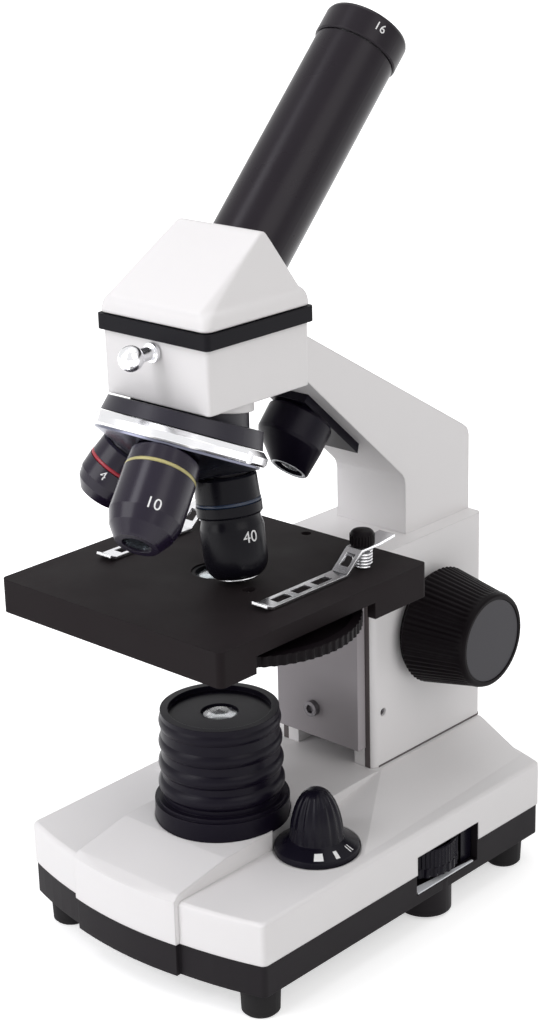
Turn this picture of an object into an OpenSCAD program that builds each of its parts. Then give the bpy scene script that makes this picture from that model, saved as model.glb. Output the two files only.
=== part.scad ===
// Student microscope with a leaning eyepiece tube, a three-place nosepiece,
// rack focusing of the stage and lamps above and below the specimen.
// X is to the user's right, Y to the back, Z up. All sizes are in millimetres.
// Sizes are worked out about the optical axis, then moved to the base's centre.

/* [Stage] */
// Width of the square stage, left to right
stage_w = 90; // [86:1:94]
// Depth of the stage, front to back
stage_d = 89; // [86:1:89]
// Height of the stage's top face above the bench
stage_top = 119.6; // [118:0.2:120]
// Thickness of the stage's top plate
stage_t = 3.5; // [3:0.1:4]
// Depth of the stage's skirt, from its top face down
skirt_h = 10.5; // [10:0.5:14]
// Thickness of the skirt's wall
skirt_wall = 3; // [2:0.5:4]
// Radius of the light hole in the stage
stage_hole_r = 7; // [6.5:0.1:8]
// Distance the stage goes down from rest
stage_down = 6.5; // [4:0.5:6.5]

/* [Base] */
// Width of the base
base_w = 99; // [97:1:103]
// How far the base's middle reaches in front of the optical axis
base_front = 45; // [44:0.5:48]
// How far the base's middle reaches behind the optical axis
base_rear = 106; // [105:0.5:110]
// Set-back of the front wings behind the middle bulge
wing_setback = 1.8; // [1:0.2:3]
// Height of the rubber feet
foot_h = 10; // [8:0.5:11]
// Set-in of the lower shell's sides from the upper shell's
lower_inset = 0.4; // [0.2:0.1:1]
// Rounding of the upper shell's top edge
edge_round = 1.2; // [0.8:0.1:2]
// Radius of a rubber foot
foot_r = 6.2; // [5:0.1:7]
// Distance from the base's edges to a foot's centre
foot_inset = 8.5; // [8:0.5:11]
// Height of the joint line between the two base shells
seam_z = 20.5; // [19:0.5:22]
// Height of the base's top at the front edge
wing_front_z = 34; // [33:0.5:35]
// Height of the base's top at the rear edge
wing_rear_z = 35.8; // [34:0.2:37]
// Height of the raised middle at the column
ridge_z = 41.8; // [40:0.2:43]
// Height of the raised middle in front of the lamp
ridge_mid_z = 39.9; // [39.9:0.1:40.4]
// Width of the raised middle
ridge_w = 43; // [42:0.5:45]
// Wall thickness of the base shells
shell_t = 2.4; // [2:0.1:3]

/* [Column and arm] */
// Width of the column
column_w = 40; // [39:0.5:42]
// Distance of the column's front face behind the optical axis
column_front = 48.5; // [48.5:0.5:50]
// Distance of the column's back face behind the optical axis
column_back = 104.5; // [103:0.5:105]
// Height of the column's shoulder
column_top = 113.7; // [112:0.1:115]
// Width of the arm
arm_w = 28.4; // [26:0.2:32]
// Height of the arm's back edge
arm_back_z = 142; // [140:0.5:146]
// Height of the arm's inner corner
arm_inner_z = 132.2; // [130:0.2:136]
// Width of the head box, left to right and front to back
box_w = 41.5; // [40:0.5:43]
// Height of the head box's underside
box_bottom = 175.8; // [175:0.2:178]
// Height of the head box's top
box_top = 194.7; // [193:0.1:196]
// Thickness of the black band on the head box
band_h = 4.5; // [3:0.5:6]
// Width of the black band
band_w = 44; // [43:0.5:46]

/* [Focus drive] */
// Distance of the focus shaft behind the optical axis
shaft_y = 77; // [75:0.5:79]
// Height of the focus shaft
shaft_z = 83.8; // [80:0.2:88]
// Radius of the focus shaft
shaft_r = 3; // [2.5:0.1:3.5]
// Module of the rack and the pinion
gear_m = 1; // [0.8:0.1:1]
// Number of teeth on the pinion
pinion_teeth = 12; // [12:1:14]
// Largest radius of a focus knob
knob_r = 19; // [17:0.5:20]
// Radius of a focus knob's outer end
knob_end_r = 15.3; // [14:0.1:16]
// Length of a focus knob
knob_l = 23.4; // [20:0.2:25]

/* [Nosepiece] */
// Height at which the three objective axes meet
meet_z = 190.5; // [189.8:0.1:191.5]
// Lean of the nosepiece's axis from the vertical
nose_tilt = 24.5; // [23:0.5:26]
// Turn of the nosepiece at rest from the click of the longest objective
nose_rest = 25; // [20:0.5:26]
// Radius of the nosepiece's rim
rim_r = 26; // [25:0.5:27]
// Radius of the fixed nosepiece plate
nose_plate_r = 24; // [22:0.5:24.5]
// Radius of the neck between the head box and the nosepiece plate
neck_r = 18.5; // [17:0.5:19.5]
// Lean of the neck's lower face
neck_tilt = 12; // [10:1:14]
// Radius of the shortest objective's barrel
short_r = 9.3; // [9:0.1:10]
// Radius of the middle objective's barrel
barrel_r = 10.5; // [10:0.1:10.8]
// Radius of the longest objective's barrel
long_r = 9.7; // [9.4:0.1:10.5]
// Distance of the objective seats from the meeting point
seat_s = 39.5; // [39:0.25:41]
// Distance of the shortest objective's tip from the meeting point
short_tip = 57; // [56:0.5:59]
// Distance of the middle objective's tip from the meeting point
middle_tip = 67; // [65:0.5:68]
// Distance of the longest objective's tip from the meeting point
long_tip = 70.4; // [69:0.1:70.6]

/* [Head and tube] */
// Width of the rotating head at its lip
head_w = 43.2; // [42:0.2:44]
// Height of the head's ridge
head_ridge_z = 222.2; // [220:0.2:224]
// Distance of the head's ridge behind the optical axis
head_ridge_y = 7.4; // [6:0.2:9]
// Lean of the eyepiece tube from the horizontal
tube_tilt = 46.4; // [45:0.2:48]
// Outer radius of the eyepiece tube
tube_r = 12.5; // [12.3:0.1:13.5]
// Radius of the eyepiece barrel, a standard size
eyepiece_r = 11.6; // [11.5:0.05:11.6]
// Length of the eyepiece tube outside the head
tube_l = 72.5; // [65:0.5:80]

/* [Lower lamp] */
// Height of the lamp housing's top
lamp_top = 75.3; // [70:0.5:80]
// Radius of the lamp housing at its foot
lamp_r = 20.8; // [20:0.1:21.3]
// Height of the seat that the lamp stands on
lamp_seat_z = 39.8; // [39.4:0.1:39.8]
// Radius of the lamp's small lens
lamp_lens_r = 5; // [4:0.5:6]

/* [Controls] */
// Distance of the light dial right of the optical axis
dial_x = 31.5; // [31:0.5:33]
// Distance of the light dial behind the optical axis
dial_y = 8; // [6:0.5:10]
// Radius of the light dial's skirt
dial_r = 13; // [12:0.5:13]
// Height of the light dial above the base
dial_h = 20.5; // [18:0.5:24]
// Radius of the dimmer wheel
dimmer_r = 13.6; // [12:0.1:14]
// Distance of the dimmer wheel behind the optical axis
dimmer_y = 49.5; // [48:0.5:51]
// Length of the slot that the dimmer wheel shows in
dimmer_slot_l = 30.6; // [28:0.2:33]

/* [Stage fittings] */
// Distance of the diaphragm's pivot right of the optical axis
wheel_x = 18.5; // [17.5:0.5:19.5]
// Distance of the diaphragm's pivot behind the optical axis
wheel_y = -5; // [-7:0.5:-4]
// Radius of the diaphragm wheel
wheel_r = 33; // [32:0.5:33.5]
// Thickness of the diaphragm wheel
wheel_t = 3.2; // [2:0.1:3.2]
// Distance of a clip's post from the optical axis, sideways
clip_x = 32; // [30:0.5:34]
// Distance of a clip's post behind the optical axis
clip_y = 30; // [28:0.5:32]
// Length of a clip in front of its post
clip_l = 44; // [40:0.5:48]
// Width of a clip's blade
clip_w = 6; // [5:0.5:7]

/* [Upper lamp] */
// Distance of the upper lamp's front behind the optical axis
upper_y = 33.3; // [32:0.1:35]
// Height of the middle of the upper lamp's front
upper_z = 142.6; // [141.6:0.2:144]
// Radius of the upper lamp's drum
drum_r = 10.5; // [9:0.1:11]
// Radius of the upper lamp's front ring
front_r = 6.3; // [6:0.1:7]
// Radius of the upper lamp's lens
upper_lens_r = 4.2; // [3.5:0.1:4.5]
// How far the front sits down the arm's slope from the drum's axis
drum_offset = 5.6; // [3:0.2:6]
// Length of the taper between the drum and the front ring
drum_taper = 6.2; // [5:0.2:8]
// Thickness of the plate that holds the upper lamp
bracket_t = 2.6; // [2:0.1:3]
// Width of the plate that holds the upper lamp
bracket_w = 16; // [12:0.5:18]
// Height of the lower end of that plate
bracket_low_z = 145.2; // [142:0.2:148]

/* [Hidden] */

fine = 96;
gap = 0.3;
fit = 0.06;
face_gap = 0.05;

white = [0.92, 0.91, 0.89];
black = [0.13, 0.12, 0.13];
soft_black = [0.20, 0.18, 0.19];
steel = [0.75, 0.76, 0.78];
satin = [0.50, 0.52, 0.58];
glass = [0.75, 0.85, 0.95];
brass = [0.80, 0.65, 0.30];

// Front edge of an objective's end, for its turn, distance and radius
function lean_y(turn) = -sin(nose_tilt) * cos(nose_tilt) * (1 - cos(turn));
function edge_y(turn, s, r) = s * lean_y(turn) - r * sqrt(1 - pow(lean_y(turn), 2));
middle_r = 6.8;
front_y = min(-base_front, edge_y(nose_rest + 120, middle_tip, middle_r - 0.5));

// The frame's origin is under the middle of the outline, on the bench
origin_x = (wheel_x + wheel_r - base_w / 2) / 2;
origin_y = (base_rear + front_y) / 2;

half_w = stage_w / 2;
half_d = stage_d / 2;
skirt_z = stage_top - skirt_h;
plate_z = stage_top - stage_t;
shell_z = foot_h;
wing_arc = 158;
bulge_arc = 134;
rear_arc = 147;
box_half = box_w / 2;
band_top = box_top + band_h;
column_half = column_w / 2;
arm_half = arm_w / 2;

// Focus drive: the pitch line of the rack touches the pinion's pitch circle
pitch_r = gear_m * pinion_teeth / 2;
pitch_line_y = shaft_y - pitch_r;
rack_root_y = pitch_line_y - 1.25 * gear_m;
rack_back = 2;
bar_back_y = rack_root_y - rack_back;
bar_half = 11.6;
channel_half = bar_half + 0.4;
channel_back_y = shaft_y + pitch_r + gear_m + 2;
plate_half = 17;
plate_front_y = half_d;
plate_back_y = column_front - gap;
slide_bottom = ridge_z + stage_down + 0.5;
slide_bar_top = 107;
bush_r = 4.5;
bush_flange_r = 6.5;
bush_flange_t = 1.4;
knob_x = column_half + bush_flange_t + gap + 0.2;
rail_y = 57;
rail_d = 4;
rail_in = 2.4;

// Nosepiece, in distances along its leaning axis from the meeting point
nose_sin = sin(nose_tilt);
nose_cos = cos(nose_tilt);
seat_r = seat_s * nose_sin;
seat_a = seat_s * nose_cos;
function cone_a(r) = seat_a + (seat_r - r) * tan(nose_tilt);
plate_a0 = 22;
plate_a1 = 27;
plate_wedge = 2;
neck_a = 18.8;
cup_a0 = plate_a1 + gap;
rim_a1 = cone_a(rim_r - 0.6) - 0.3;
cup_wall = 3;
thread_r = 7.5;
pivot_r = 2.6;

// Tube axis: it meets the optical axis at mirror_z
tube_y0 = 16;
tube_z0 = 210.5;
mirror_z = tube_z0 - tube_y0 * tan(tube_tilt);
eyepiece_seat = 0.4;
eyepiece_cap_h = 9.1;
eyepiece_cap_r = tube_r + 0.55;
flange_r = 17;
flange_bottom = box_top - 11;
screw_z = box_top - 3.7;
light_r = 5.5;
head_bottom = band_top + gap;
socket_depth = (tube_z0 - tube_r * cos(tube_tilt) - head_bottom - 0.2) / sin(tube_tilt);

dimmer_x = base_w / 2 - dimmer_r + 0.2;
dimmer_z = 15.5;
dimmer_t = 3;
wheel_z = plate_z - 0.7 - wheel_t - 3;
clip_blade_t = 0.8;
clip_rise = 6;
flange_t = 3;
condenser_r = 9.5;
inner_top = wing_front_z - shell_t - 0.6;
switch_r = (base_w / 2 - shell_t - dial_x) * 0.51;
switch_h = 10.2;
inlet_x = -28;
inlet_z = 15.2;
inlet_r = 4.2;
inlet_l = 9.6;
box_round = 1.2;
dial_z = wing_front_z + 0.5;

module place() {
  translate([-origin_x, -origin_y, 0]) children();
}

// A rectangle with round corners, centred
module round_rect(w, d, r) {
  square([w - 2 * r, d], center = true);
  square([w, d - 2 * r], center = true);
  for (sx = [-1, 1]) {
    for (sy = [-1, 1]) {
      translate([sx * (w / 2 - r), sy * (d / 2 - r)]) circle(r = r, $fn = 32);
    }
  }
}

module ring(r_out, r_in, h) {
  difference() {
    cylinder(r = r_out, h = h, $fn = fine);
    translate([0, 0, -1]) cylinder(r = r_in, h = h + 2, $fn = fine);
  }
}

// A fluted outline: round lands between shallow straight grooves
module flutes(r, depth, count) {
  polygon([for (i = [0 : 4 * count - 1])
    let (deep = (i % 4 > 1) ? depth : 0)
    [(r - deep) * cos(i * 90 / count), (r - deep) * sin(i * 90 / count)]]);
}

// Places a piece whose own -Z runs down the nosepiece's leaning axis
module at_nose() {
  translate([0, 0, meet_z]) rotate([-nose_tilt, 0, 0]) children();
}

// Places a piece whose own -Z runs down an objective's axis
module at_objective(turn) {
  at_nose() rotate([0, 0, -turn]) rotate([nose_tilt, 0, 0]) children();
}

// Places a piece whose own Z runs up the eyepiece tube, from the head's back slope
module at_tube(t) {
  translate([0, tube_y0, tube_z0]) rotate([tube_tilt - 90, 0, 0]) translate([0, 0, t]) children();
}

module at_upper_lamp() {
  translate([0, upper_y, upper_z]) rotate([slope_lean - 90, 0, 0]) children();
}

// Plan of the base: straight sides between shallow front and rear arcs
module base_plan(inset = 0) {
  offset(r = 2, $fn = 32) offset(delta = -2 - inset) intersection() {
    translate([-base_w / 2, -base_front]) square([base_w, base_front + base_rear]);
    translate([0, wing_setback - base_front + wing_arc]) circle(r = wing_arc, $fn = 180);
    translate([0, base_rear - rear_arc]) circle(r = rear_arc, $fn = 180);
  }
}

// Plan of the raised middle, which bulges in front of the wings
module ridge_plan(inset = 0) {
  intersection() {
    translate([inset - ridge_w / 2, -base_front]) square([ridge_w - 2 * inset, base_front + base_rear]);
    translate([0, bulge_arc - base_front]) circle(r = bulge_arc - inset, $fn = 180);
    translate([0, base_rear - rear_arc]) circle(r = rear_arc - inset, $fn = 180);
  }
}

// The wings' body: upright sides, a rounded top edge and a top that rises to the back
module wing_body(inset, top_drop) {
  rise = atan((wing_rear_z - wing_front_z) / (base_rear + base_front));
  top = wing_front_z - top_drop;
  hull() {
    translate([0, 0, seam_z]) linear_extrude(top - seam_z - edge_round - 0.4) base_plan(inset);
    translate([0, -base_front, top - edge_round]) rotate([rise, 0, 0]) translate([0, base_front, 0])
      linear_extrude(0.4) base_plan(inset + 0.1);
    translate([0, -base_front, top - edge_round * 0.4]) rotate([rise, 0, 0]) translate([0, base_front, 0])
      linear_extrude(0.1) base_plan(inset + edge_round * 0.4);
    translate([0, -base_front, top - 0.1]) rotate([rise, 0, 0]) translate([0, base_front, 0])
      linear_extrude(0.1) base_plan(inset + edge_round);
  }
}

// The raised middle: a wedge that climbs from the front to the column, then runs level
module ridge_body(inset, drop) {
  front_z = wing_front_z + 2.2 - drop;
  hull() {
    translate([0, 0, seam_z]) linear_extrude(front_z - seam_z - 1.5) ridge_plan(inset);
    translate([inset + 0.3 - ridge_w / 2, 4 - base_front + inset, front_z - 1])
      cube([ridge_w - 2 * inset - 0.6, 1, 1]);
    translate([inset - ridge_w / 2, -lamp_r - 0.6, ridge_mid_z - drop - 1])
      cube([ridge_w - 2 * inset, 1, 1]);
    translate([inset - ridge_w / 2, column_front - 10, ridge_z - drop - 1])
      cube([ridge_w - 2 * inset, column_back - column_front + 8 - inset, 1]);
  }
}

// The rear shoulders, which slope from the raised middle down to the wings
module shoulder_body(inset, drop) {
  hull() {
    translate([0, 0, seam_z + 1]) linear_extrude(wing_front_z - seam_z - 1 - drop) intersection() {
      base_plan(inset + edge_round + 0.4);
      translate([-base_w, 10]) square([2 * base_w, base_rear]);
    }
    translate([inset - ridge_w / 2, column_front + 2, ridge_z - drop - 1])
      cube([ridge_w - 2 * inset, column_back - column_front - 4 - inset, 1]);
  }
}

module base_top_shell() {
  color(white) place() difference() {
    union() {
      wing_body(0, 0);
      ridge_body(0, 0);
      shoulder_body(0, 0);
    }
    translate([0, 0, seam_z - 1]) linear_extrude(inner_top - seam_z + 1)
      base_plan(shell_t);
    translate([-ridge_w / 2 + shell_t, 6 - base_front, seam_z])
      cube([ridge_w - 2 * shell_t, column_front - 12 + base_front, wing_front_z - seam_z]);
    // Seat and wire hole for the lamp
    translate([0, 0, lamp_seat_z]) cylinder(r = lamp_r + 0.2, h = 20, $fn = fine);
    translate([0, 0, seam_z]) cylinder(r = 3, h = 30, $fn = 32);
    // Hole and round recess for the dial
    translate([dial_x, dial_y, seam_z]) cylinder(r = 3.4, h = 30, $fn = 32);
    translate([dial_x, dial_y, dial_z - gap]) cylinder(r = dial_r + 0.4, h = 30, $fn = fine);
    // Bolt holes under the column
    for (p = column_bolts) {
      translate([p[0], p[1], seam_z]) cylinder(r = 2.1, h = 30, $fn = 32);
    }
    // Slot for the dimmer wheel
    translate([base_w / 2 - shell_t - 12, dimmer_y - dimmer_slot_l / 2, seam_z - 1])
      cube([shell_t + 20, dimmer_slot_l, 7.2]);
  }
}

column_bolts = [[-14, column_front + 43], [14, column_front + 43]];
shell_bolts = [[-38, -26], [38, -26], [-38, 78], [38, 78]];
cover_x = -39;
cover_y = -24;
cover_w = 56;
cover_d = 49;
cell_r = 7.2;
cell_l = 50;
cell_z = shell_z + 2.02 + cell_r;

module base_bottom_shell() {
  color(black) place() difference() {
    union() {
      difference() {
        translate([0, 0, shell_z]) linear_extrude(seam_z - shell_z) {
          base_plan(lower_inset);
          ridge_plan(lower_inset);
        }
        translate([0, 0, shell_z + shell_t]) linear_extrude(seam_z) base_plan(lower_inset + shell_t);
      }
      for (p = shell_bolts) {
        translate([p[0], p[1], shell_z + 0.5]) cylinder(r = 4.5, h = seam_z - shell_z - 0.5, $fn = 48);
      }
      // Round housing that drops below the dimmer wheel
      translate([base_w / 2 - 8.8, dimmer_y - 1, foot_h - 8.8]) cylinder(r = 8.5, h = 11.3, $fn = fine);
    }
    translate([cover_x - 0.2, cover_y - 0.2, shell_z - 1]) cube([cover_w + 0.4, cover_d + 0.4, seam_z]);
    for (p = shell_bolts) {
      translate([p[0], p[1], 0]) cylinder(r = 1.7, h = 60, $fn = 32);
    }
    for (p = column_bolts) {
      translate([p[0], p[1], 0]) cylinder(r = 2.1, h = 60, $fn = 32);
    }
    // Open side of the dimmer wheel's recess
    translate([base_w / 2 - 16, dimmer_y - dimmer_slot_l / 2, dimmer_z - 2.2])
      cube([30, dimmer_slot_l, seam_z]);
    // Hole for the power socket in the back wall
    translate([inlet_x, base_rear - inlet_l - 6, inlet_z]) rotate([-90, 0, 0])
      cylinder(r = inlet_r + 0.1, h = inlet_l + 20, $fn = 48);
  }
}

module base_screws() {
  color(steel) place() {
    for (p = shell_bolts) {
      translate([p[0], p[1], shell_z + 0.1]) {
        cylinder(r = 1.6, h = 13, $fn = 32);
      }
    }
    for (p = column_bolts) {
      translate([p[0], p[1], shell_z + shell_t - 2 + 0.1]) {
        cylinder(r = 2, h = ridge_z + 10 - shell_z, $fn = 32);
      }
    }
  }
}

module rubber_feet() {
  color(soft_black) place() for (sx = [-1, 1]) {
    for (y = [8 + foot_inset - base_front, base_rear - 8.1 - foot_inset]) {
      translate([sx * (base_w / 2 - foot_inset), y, 0])
        rotate_extrude($fn = fine) polygon([[0, 0], [foot_r - 1.2, 0], [foot_r - 0.4, 0.8],
          [foot_r, foot_h], [0, foot_h]]);
    }
  }
}

module battery_cover() {
  color(black) place() difference() {
    translate([cover_x, cover_y, shell_z]) cube([cover_w, cover_d, 2]);
    for (i = [0 : 4]) {
      translate([cover_x + cover_w - 10 + i * 1.6, cover_y + 15, shell_z - 1]) cube([0.8, 19, 1.5]);
    }
  }
}

module batteries() {
  color(brass) place() for (i = [0 : 2]) {
    translate([cover_x + 3, cover_y + 9 + i * 15.2, cell_z]) rotate([0, 90, 0]) {
      cylinder(r = cell_r, h = cell_l - 1.5, $fn = 48);
      cylinder(r = 2.6, h = cell_l, $fn = 32);
    }
  }
}

module battery_contacts() {
  color(steel) place() for (i = [0 : 2]) {
    translate([cover_x + 2.49, cover_y + 4 + i * 15.2, shell_z + 2.02]) cube([0.5, 10, 10]);
    translate([cover_x + 3.01 + cell_l, cover_y + 4 + i * 15.2, shell_z + 2.02]) cube([0.5, 10, 10]);
  }
}

module power_inlet() {
  color(soft_black) place() translate([inlet_x, base_rear - inlet_l - 5.4, inlet_z]) rotate([-90, 0, 0]) difference() {
    cylinder(r = inlet_r, h = inlet_l, $fn = 48);
    translate([0, 0, 1.5]) cylinder(r = 2.9, h = 20, $fn = 48);
  }
}

module switch_body() {
  color(soft_black) place() translate([dial_x, dial_y, inner_top - switch_h]) difference() {
    cylinder(r = switch_r, h = switch_h - 0.02, $fn = 48);
    translate([0, 0, 2]) cylinder(r = 3.3, h = 20, $fn = 48);
  }
}

module dimmer_body() {
  color(soft_black) place() translate([dimmer_x, dimmer_y, dimmer_z + dimmer_t + gap]) difference() {
    translate([-9, -8, 0]) cube([17, 16, inner_top - 0.02 - dimmer_z - dimmer_t - gap]);
    translate([0, 0, -1]) cylinder(r = 2.07, h = 6, $fn = 32);
  }
}

// Half profile of the ribbed lamp housing, from the foot up
module lamp_profile() {
  h = lamp_top - lamp_seat_z;
  flange = 8.2;
  rib = (h - flange) / 4;
  difference() {
    union() {
      square([lamp_r - 2.6, h - 1]);
      translate([0, 0]) square([lamp_r, flange - 2]);
      translate([0, flange - 3]) square([lamp_r - 0.8, 2.2]);
      for (i = [0 : 3]) {
        translate([lamp_r - 4.4 - i * 0.25, flange + (i + 0.5) * rib]) {
          circle(r = rib / 2 - 0.35, $fn = 40);
        }
        translate([lamp_r - 5, flange + i * rib + 0.35]) square([0.6 - i * 0.25 + 1.6, rib - 0.7]);
      }
      translate([0, h - 3]) square([lamp_r - 2.6, 3]);
    }
    translate([0, h - 1.6]) square([lamp_r - 5, 5]);
    translate([0, -1]) square([4.5, h - 8]);
    translate([0, h - 9.1]) square([lamp_lens_r + 0.8, 20]);
  }
}

module lamp_housing() {
  color(black) place() translate([0, 0, lamp_seat_z]) rotate_extrude($fn = fine) intersection() {
    lamp_profile();
    square([lamp_r, lamp_top]);
  }
}

module lamp_lens() {
  color(glass) place() translate([0, 0, lamp_top - 4.5]) rotate_extrude($fn = fine)
    polygon([[0, 0], [lamp_lens_r + 0.78, 0], [lamp_lens_r + 0.78, 1.6], [lamp_lens_r, 2.4],
      [lamp_lens_r * 0.6, 3.2], [0, 3.6]]);
}

module led_boards() {
  color([0.2, 0.45, 0.3]) place() {
    translate([0, 0, lamp_top - 9.08]) {
      cylinder(r = lamp_lens_r + 0.78, h = 1.4, $fn = 48);
      translate([0, 0, 1.3]) cylinder(r = 2.5, h = 3.1, $fn = 48);
    }
    at_upper_lamp() translate([0, 0, 5]) {
      cylinder(r = upper_lens_r + 0.38, h = 1.2, $fn = 48);
      translate([0, 0, -2.3]) cylinder(r = 1.6, h = 2.5, $fn = 48);
    }
  }
}

// Side profile of the arm, in Y and Z
module arm_profile() {
  polygon([[10, box_bottom], [slope_y0, box_bottom], [slope_y1, arm_inner_z + 1.6], [slope_y1 + 1, arm_inner_z],
    [72, arm_inner_z - 2], [72, column_top - 4], [column_back, column_top - 4],
    [column_back, arm_back_z - 3], [column_back - 0.8, arm_back_z - 0.8], [column_back - 3, arm_back_z + 1],
    [box_half, box_top - 3], [10, box_top - 3]]);
}

module extrude_x(w) {
  translate([-w / 2, 0, 0]) rotate([90, 0, 90]) linear_extrude(w) children();
}

// Upright round neck under the head box, kept inside the box's outline
module neck_post(shrink) {
  intersection() {
    translate([shrink + 1 - box_half, shrink + 1 - box_half, box_bottom - 30])
      cube([box_w - 2 - 2 * shrink, box_w - 2 - 2 * shrink, 30.2]);
    translate([0, -neck_a * nose_sin, box_bottom - 30]) cylinder(r = neck_r - shrink, h = 60, $fn = fine);
  }
}

// Everything below the neck's leaning lower face
module below_neck() {
  translate([0, -neck_a * nose_sin, meet_z - neck_a * nose_cos]) rotate([-neck_tilt, 0, 0])
    translate([-60, -60, -60]) cube([120, 120, 60]);
}

// White neck under the head box
module nose_neck() {
  difference() {
    neck_post(0);
    below_neck();
  }
}

module column_body() {
  difference() {
    union() {
      translate([0, (column_front + column_back) / 2, ridge_z])
        linear_extrude(column_top - ridge_z) round_rect(column_w, column_back - column_front, 2.5);
      extrude_x(arm_w) arm_profile();
    }
    translate([-channel_half, column_front - 1, ridge_z - 1])
      cube([2 * channel_half, channel_back_y - column_front + 1, slide_bar_top + 2 - ridge_z]);
    translate([-column_w, shaft_y, shaft_z]) rotate([0, 90, 0]) cylinder(r = bush_r + face_gap, h = 2 * column_w, $fn = 64);
    translate([0, 53.4, shaft_z - 23.5]) rotate([0, 90, 0]) cylinder(r = 1.3, h = column_w, $fn = 32);
    for (p = column_bolts) {
      translate([p[0], p[1], ridge_z - 1]) cylinder(r = 2.05, h = 12, $fn = 32);
    }
  }
}

module head_box() {
  difference() {
    union() {
      hull() {
        translate([0, 0, box_bottom]) linear_extrude(1) round_rect(box_w - 0.2, box_w - 0.2, box_round);
        translate([0, 0, box_top - 1]) linear_extrude(1) round_rect(box_w, box_w, box_round);
      }
      nose_neck();
    }
    translate([0, 0, box_bottom - 30]) cylinder(r = light_r, h = 60, $fn = 64);
    translate([0, 0, flange_bottom - gap]) cylinder(r = flange_r + gap, h = 40, $fn = fine);
    translate([0, 0, screw_z]) rotate([90, 0, 0]) cylinder(r = 2.07, h = 40, $fn = 48);
  }
}

module stand_arm() {
  color(white) place() union() {
    difference() {
      column_body();
      translate([0, 0, box_bottom - 30]) cylinder(r = flange_r + gap, h = 60, $fn = fine);
    }
    head_box();
  }
}

module slide_rails() {
  color(steel) place() for (s = [-1, 1]) {
    translate([s > 0 ? channel_half - rail_in : -channel_half, rail_y - rail_d / 2, ridge_z + 1])
      cube([rail_in, rail_d, slide_bar_top - ridge_z - 1]);
  }
}

module shaft_bushes() {
  color(brass) place() for (s = [-1, 1]) {
    translate([s * channel_half, shaft_y, shaft_z]) rotate([0, s * 90, 0]) {
      ring(bush_r, shaft_r + fit, column_half - channel_half);
      translate([0, 0, column_half - channel_half]) ring(bush_flange_r, shaft_r + fit, bush_flange_t);
    }
  }
}

module friction_screw() {
  color(steel) place() translate([channel_half + 0.2, 53.4, shaft_z - 23.5]) rotate([0, 90, 0]) difference() {
    cylinder(r = 1.25, h = column_half - channel_half - 1, $fn = 32);
    translate([0, 0, 5.4]) cylinder(r = 0.7, h = 5, $fn = 6);
  }
}

module head_band() {
  color(black) place() translate([0, 0, box_top]) linear_extrude(band_h) difference() {
    round_rect(band_w, band_w, 1.5);
    circle(r = flange_r + gap, $fn = fine);
  }
}

module nosepiece_plate() {
  color(black) place() difference() {
    union() {
      at_nose() difference() {
        translate([0, 0, -plate_a1]) cylinder(r1 = nose_plate_r, r2 = nose_plate_r - 1.4, h = plate_a1 - plate_a0 + 1, $fn = fine);
        translate([0, 0, -plate_a0]) rotate([plate_wedge, 0, 0]) translate([-60, -60, 0]) cube([120, 120, 20]);
      }
      // Dark wedge between the plate and the white neck
      intersection() {
        neck_post(1.5);
        translate([0, 0, -0.02]) below_neck();
        at_nose() translate([0, 0, -plate_a0 - 1]) cylinder(r = nose_plate_r - 1, h = 40, $fn = fine);
      }
    }
    at_nose() translate([0, 0, -plate_a1 - 1]) cylinder(r = pivot_r + 0.02, h = 10, $fn = 48);
    translate([0, 0, box_bottom - 40]) cylinder(r = light_r, h = 60, $fn = 64);
  }
}

module nosepiece_pivot() {
  head_h = 2.4;
  color(steel) place() at_nose() translate([0, 0, -cone_a(5.4) - gap - head_h]) {
    cylinder(r = pivot_r, h = cone_a(5.4) + gap + head_h - plate_a0, $fn = 48);
    difference() {
      cylinder(r = 5, h = head_h, $fn = 48);
      translate([-6, -0.5, -1]) cube([12, 1, 1.8]);
    }
  }
}

module click_spring() {
  color(steel) place() at_nose() rotate([0, 0, 180]) translate([0, 0, -plate_a1]) {
    translate([-2.5, 6.6, -0.6]) cube([5, 12.6, 0.6]);
    translate([0, 17.2, -1.6]) sphere(r = 1.3, $fn = 32);
  }
}

// The arm's slope: its two ends, its angle and its distance from the lamp's front
slope_y0 = 25;
slope_y1 = 70.6;
slope_lean = atan((slope_y1 - slope_y0) / (box_bottom - arm_inner_z - 1.6));
function slope_at(z) = slope_y0 + (box_bottom - z) * tan(slope_lean);
upper_reach = (slope_at(upper_z) - upper_y) * cos(slope_lean);
drum_back = upper_reach - bracket_t - 0.02;
bracket_low = (upper_z - bracket_low_z + upper_reach * sin(slope_lean)) / cos(slope_lean);
bracket_high = drum_offset + drum_r;

// Plate that lies along the arm's slope and carries the upper lamp
module upper_lamp_bracket() {
  color(black) place() at_upper_lamp() difference() {
    translate([-bracket_w / 2, -bracket_high, upper_reach - bracket_t])
      cube([bracket_w, bracket_high + bracket_low, bracket_t - 0.03]);
    translate([0, bracket_low, upper_reach - bracket_t]) rotate([30, 0, 0])
      translate([-bracket_w, 0, -20]) cube([2 * bracket_w, 20, 40]);
  }
}

// Drum that tapers to a front ring set down the slope from the drum's axis
module upper_lamp_housing() {
  color(black) place() at_upper_lamp() difference() {
    hull() {
      cylinder(r = front_r - 0.4, h = 1, $fn = 64);
      translate([0, 0, 0.5]) cylinder(r = front_r, h = 0.8, $fn = 64);
      translate([0, -drum_offset, drum_taper]) cylinder(r = drum_r - 0.5, h = 1, $fn = fine);
      translate([0, -drum_offset, drum_taper + 1]) cylinder(r = drum_r, h = drum_back - drum_taper - 2.4, $fn = fine);
      translate([0, -drum_offset, drum_back - 1]) cylinder(r = drum_r - 1.2, h = 1, $fn = fine);
    }
    translate([0, 0, -1]) cylinder(r = upper_lens_r + 0.4, h = 7.4, $fn = 64);
  }
}

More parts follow.
